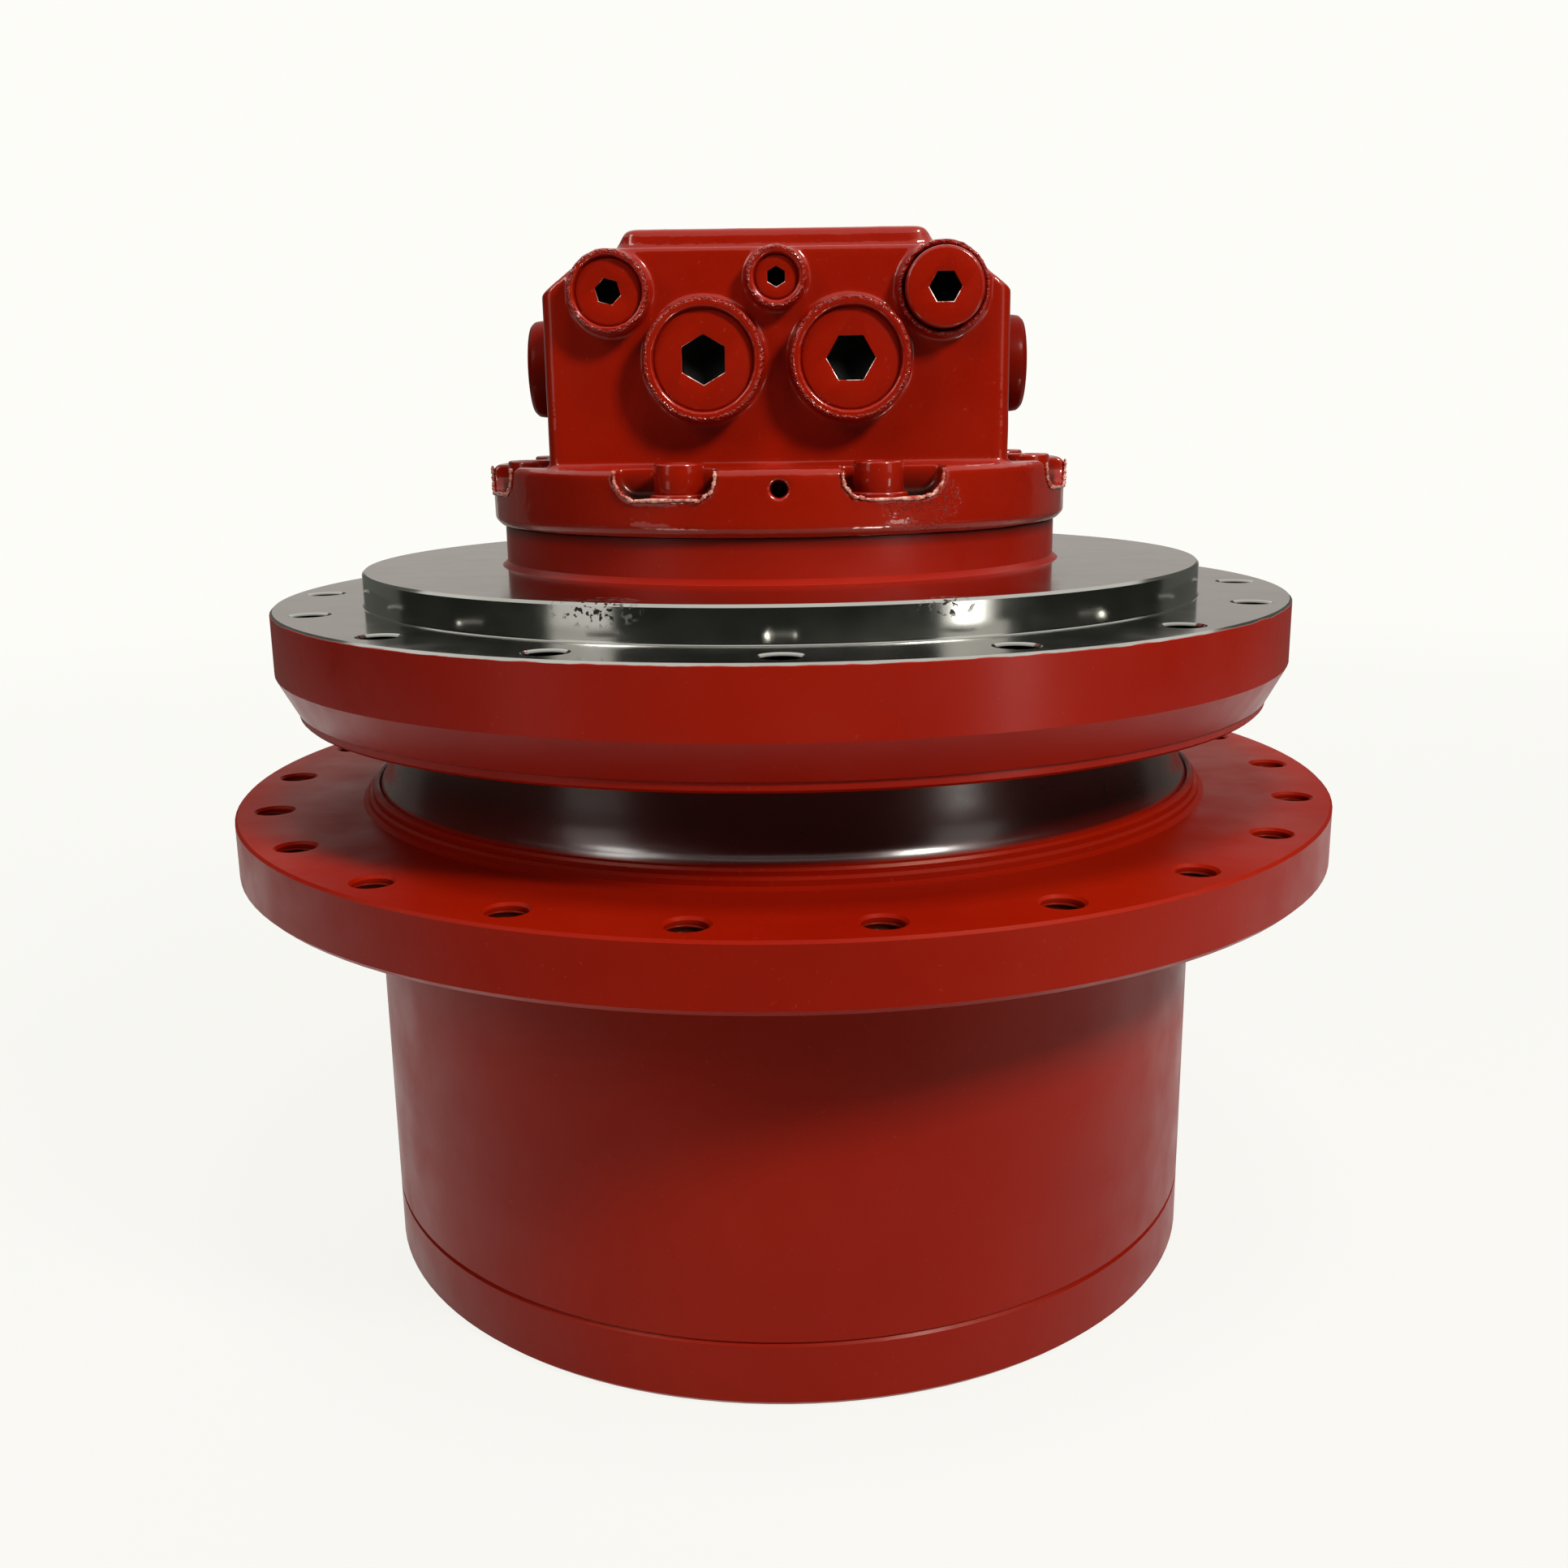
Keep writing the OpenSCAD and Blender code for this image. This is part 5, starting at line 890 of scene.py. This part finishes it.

# Two caps close the ends of the counterbalance spool's bore. Each is turned
# with a wide chamfer, screwed in by a hexagon socket and painted thinly, and
# its red is darkened as painted shade.
cap_r, cap_out, cap_wall_x, cap_stem_r, cap_stem = 0.019, 0.0155, 0.084, 0.015, 0.019
cap_key, cap_z = 0.012, bosses[0][1]
cap_finish, tree, skin, where, base = red_enamel("cap_satin_red", 0.2, 0.42)
# Painted shade: the caps' red is multiplied darker.
base = blend_colours(tree, 1.0, base, (0.5, 0.45, 0.4, 1), "MULTIPLY")
tree.links.new(base, skin.inputs["Base Color"])
skin.inputs["Specular IOR Level"].default_value = 0.05
for name, side in (("spool_cap_left", -1), ("spool_cap_right", 1)):
    bpy.ops.object.select_all(action="DESELECT")
    bpy.ops.mesh.primitive_cylinder_add(vertices=96, radius=cap_r, depth=cap_out)
    cap = bpy.context.object
    cap.name = name + "_turned"
    edges_at(cap, lambda co: co.z > 0)
    bpy.ops.mesh.bevel(offset=0.0042, segments=3, profile=0.6)
    pull_stem(cap, cap_r - cap_stem_r, cap_stem)
    cap.matrix_world = (Matrix.Translation((side * (cap_wall_x + cap_out / 2), 0, cap_z))
                        @ Matrix.Rotation(side * math.pi / 2, 4, "Y"))
    finish_mesh(cap)
    cut_hexagon(cap, (side * (cap_wall_x + cap_out), 0, cap_z), cap_key, 0.2, 0.008,
                Vector((side, 0, 0)))
    break_edges(cap, 0.0005)
    dress(cap, cap_finish, "spindle", "red_paint", name, others=(socket_black,))

# Both relief valves are screwed into the back of the port block by their
# hexagon heads, and each has a raised turned face.
relief_x, relief_z, relief_head_r, relief_head_t = 0.032, bosses[0][1], 0.015, 0.011
for side in (-1, 1):
    bpy.ops.object.select_all(action="DESELECT")
    bpy.ops.mesh.primitive_cylinder_add(vertices=6, radius=relief_head_r, depth=relief_head_t)
    valve = bpy.context.object
    valve.name = "relief_valve_left" if side < 0 else "relief_valve_right"
    for face in valve.data.polygons:
        face.select = face.normal.z > 0.9
    bpy.ops.object.mode_set(mode="EDIT")
    bpy.ops.mesh.select_mode(type="FACE")
    bpy.ops.mesh.inset(thickness=0.0012)
    bpy.ops.transform.translate(value=(0, 0, 0.0007))
    bpy.ops.mesh.inset(thickness=0.0022)
    bpy.ops.mesh.extrude_region_move(TRANSFORM_OT_translate={"value": (0, 0, 0.0013)})
    bpy.ops.object.mode_set(mode="OBJECT")
    middle = (side * relief_x, -front_y + relief_head_t / 2, relief_z)
    valve.matrix_world = Matrix.Translation(middle) @ Matrix.Rotation(-math.pi / 2, 4, "X")
    finish_mesh(valve)
    break_edges(valve, 0.0006, 3)
    dress(valve, block_finish, "spindle", "red_paint", "relief_valves")

# The hub and its end cover are turned iron castings under one even coat of
# satin red. Shade is painted dark down the flange's tapped holes, and a pale
# patchy line along the flange's lower edge is a painted highlight.
holes_inner, holes_outer, flange_low, flange_high = 0.2024, 0.2176, 0.1680, 0.1905
edge_highlight_r, edge_highlight_z = 0.2240, 0.1689
hub_finish, tree, skin, where, base = red_enamel("hub_satin_red", 0.1, 0.4)
radius, height = radius_and_height(tree, where)
# Painted shade: the walls of the tapped holes are darkened near black.
painted_shade_in_hub_holes = sums(tree, "MULTIPLY", ramp(tree, radius, holes_inner, holes_inner + 0.0002),
                ramp(tree, radius, holes_outer - 0.0002, holes_outer, 1, 0))
painted_shade_in_hub_holes = sums(tree, "MULTIPLY", painted_shade_in_hub_holes, ramp(tree, height, flange_low, flange_low + 0.0002))
painted_shade_in_hub_holes = sums(tree, "MULTIPLY", painted_shade_in_hub_holes,
                ramp(tree, height, flange_high - 0.002, flange_high, 1, 0))
base = blend_colours(tree, painted_shade_in_hub_holes, base, (0.035, 0.003, 0.001, 1))
# Painted highlight: a pale, patchy line along the flange's lower edge.
low_edge = sums(tree, "MULTIPLY", ramp(tree, radius, edge_highlight_r, edge_highlight_r + 0.0006),
                ramp(tree, height, edge_highlight_z - 0.0003, edge_highlight_z, 1, 0))
painted_lower_edge_highlight = sums(tree, "MULTIPLY", low_edge,
                 ramp(tree, grain(tree, where, 160, 3), 0.4, 0.6, 0.3, 1))
base = blend_colours(tree, painted_lower_edge_highlight, base, (0.5, 0.2, 0.15, 1))
tree.links.new(base, skin.inputs["Base Color"])
slot_of = {row["node"]: row["material_slot"] for row in frame["record"]["subparts"]}
painted = [name for name in frame["record"]["behaviour"]["bodies"]["hub"]
           if slot_of[name] == "red_paint"]
on_nodes(hub_finish, *painted)

# The neck of the hub flares into the ring of its flange in a turned cove,
# with a fine groove between them. Its red is darkened nearly to black as
# painted shade, under a wet-looking gloss coat.
neck_finish, tree, skin, where, base = red_enamel("hub_neck_wet_red_painted_shade", 0.05, 0.3)
radius, height = radius_and_height(tree, where)
# Painted shade: the cove's red is darkened nearly to black.
on_neck = ramp(tree, radius, 0.1679, 0.1684, 1, 0)
base = blend_colours(tree, on_neck, base, (0.07, 0.001, 0.0003, 1))
tree.links.new(base, skin.inputs["Base Color"])
tree.links.new(on_neck, skin.inputs["Coat Weight"])
skin.inputs["Coat Roughness"].default_value = 0.2
skin.inputs["Coat IOR"].default_value = 1.7
neck_profile = [(0.1600, 0.2262), (0.1621, 0.2262), (0.16295, 0.2200), (0.1638, 0.2140),
                (0.1646, 0.2090), (0.1655, 0.2050), (0.1664, 0.2023), (0.1673, 0.2005),
                (0.1681, 0.1994), (0.1684, 0.1983), (0.1688, 0.1976), (0.1693, 0.1986),
                (0.1702, 0.1989), (0.1714, 0.1985), (0.1720, 0.1975), (0.1720, 0.1955),
                (0.1600, 0.1955)]


def turned_ring(name, profile, finish, body, slot, steps=256):
    bpy.ops.object.select_all(action="DESELECT")
    bpy.ops.mesh.primitive_circle_add(vertices=len(profile), radius=0.01)
    piece = bpy.context.object
    piece.name = name
    for vertex, (radius, height) in zip(piece.data.vertices, profile):
        vertex.co = (radius, 0, height)
    turning = piece.modifiers.new("turning", "SCREW")
    turning.axis = "Z"
    turning.steps = steps
    turning.render_steps = steps
    turning.use_merge_vertices = True
    turning.merge_threshold = 0.000001
    finish_mesh(piece)
    close_seams(piece, 0.000002)
    bpy.ops.object.shade_smooth_by_angle(angle=math.radians(30))
    dress(piece, finish, body, slot)


turned_ring("hub_neck_cove", neck_profile, neck_finish, "hub", "red_paint")

# The turning tool left a small fillet round the foot of the pilot, where it
# meets the bare seat of the track frame.
pilot_foot = [(0.1696, 0.2706), (0.1707, 0.2706), (0.1707, 0.27102), (0.1704, 0.2711),
              (0.17018, 0.27132), (0.17006, 0.2718), (0.1696, 0.2718)]
turned_ring("pilot_foot_fillet", pilot_foot, spindle_finish, "spindle", "red_paint")

# The holes of both flanges are tapped M16. A ridge is wound down each hole at
# the thread's pitch, and the ridges of one flange are joined to one piece.
thread_pitch, thread_r, thread_wire = 0.002, 0.00705, 0.00055


def thread_ridges(name, count, circle_r, start, top_z, turns, finish, body):
    bpy.ops.object.select_all(action="DESELECT")
    bpy.ops.mesh.primitive_circle_add(vertices=4, radius=thread_wire, location=(thread_r, 0, 0),
                                      rotation=(math.pi / 2, 0, 0))
    ridge = bpy.context.object
    bpy.ops.object.transform_apply(location=True, rotation=True, scale=True)
    winding = ridge.modifiers.new("winding", "SCREW")
    winding.axis = "Z"
    winding.screw_offset = thread_pitch
    winding.iterations = turns
    winding.steps = 20
    winding.render_steps = 20
    finish_mesh(ridge)
    bpy.ops.object.mode_set(mode="EDIT")
    bpy.ops.mesh.select_all(action="SELECT")
    bpy.ops.mesh.remove_doubles(threshold=0.00001)
    bpy.ops.mesh.fill_holes(sides=4)
    bpy.ops.mesh.select_all(action="SELECT")
    bpy.ops.mesh.normals_make_consistent(inside=False)
    bpy.ops.object.mode_set(mode="OBJECT")
    copies = []
    for i in range(count):
        a = math.radians(start + 360 * i / count)
        copy = add_object(name, ridge.data.copy())
        copy.data.transform(Matrix.Translation((circle_r * math.cos(a), circle_r * math.sin(a),
                                                top_z - turns * thread_pitch)))
        copies.append(copy)
    bpy.data.objects.remove(ridge, do_unlink=True)
    bpy.ops.object.select_all(action="DESELECT")
    for copy in copies:
        copy.select_set(True)
    bpy.context.view_layer.objects.active = copies[0]
    bpy.ops.object.join()
    threads = bpy.context.object
    threads.name = name
    dress(threads, finish, body, "red_paint")


thread_ridges("hub_threads", count=22, circle_r=0.21, start=-90 + 180 / 22, top_z=flange_high,
              turns=10, finish=hub_finish, body="hub")
thread_ridges("spindle_threads", count=16, circle_r=0.1915, start=-90, top_z=0.2695,
              turns=9, finish=spindle_finish, body="spindle")
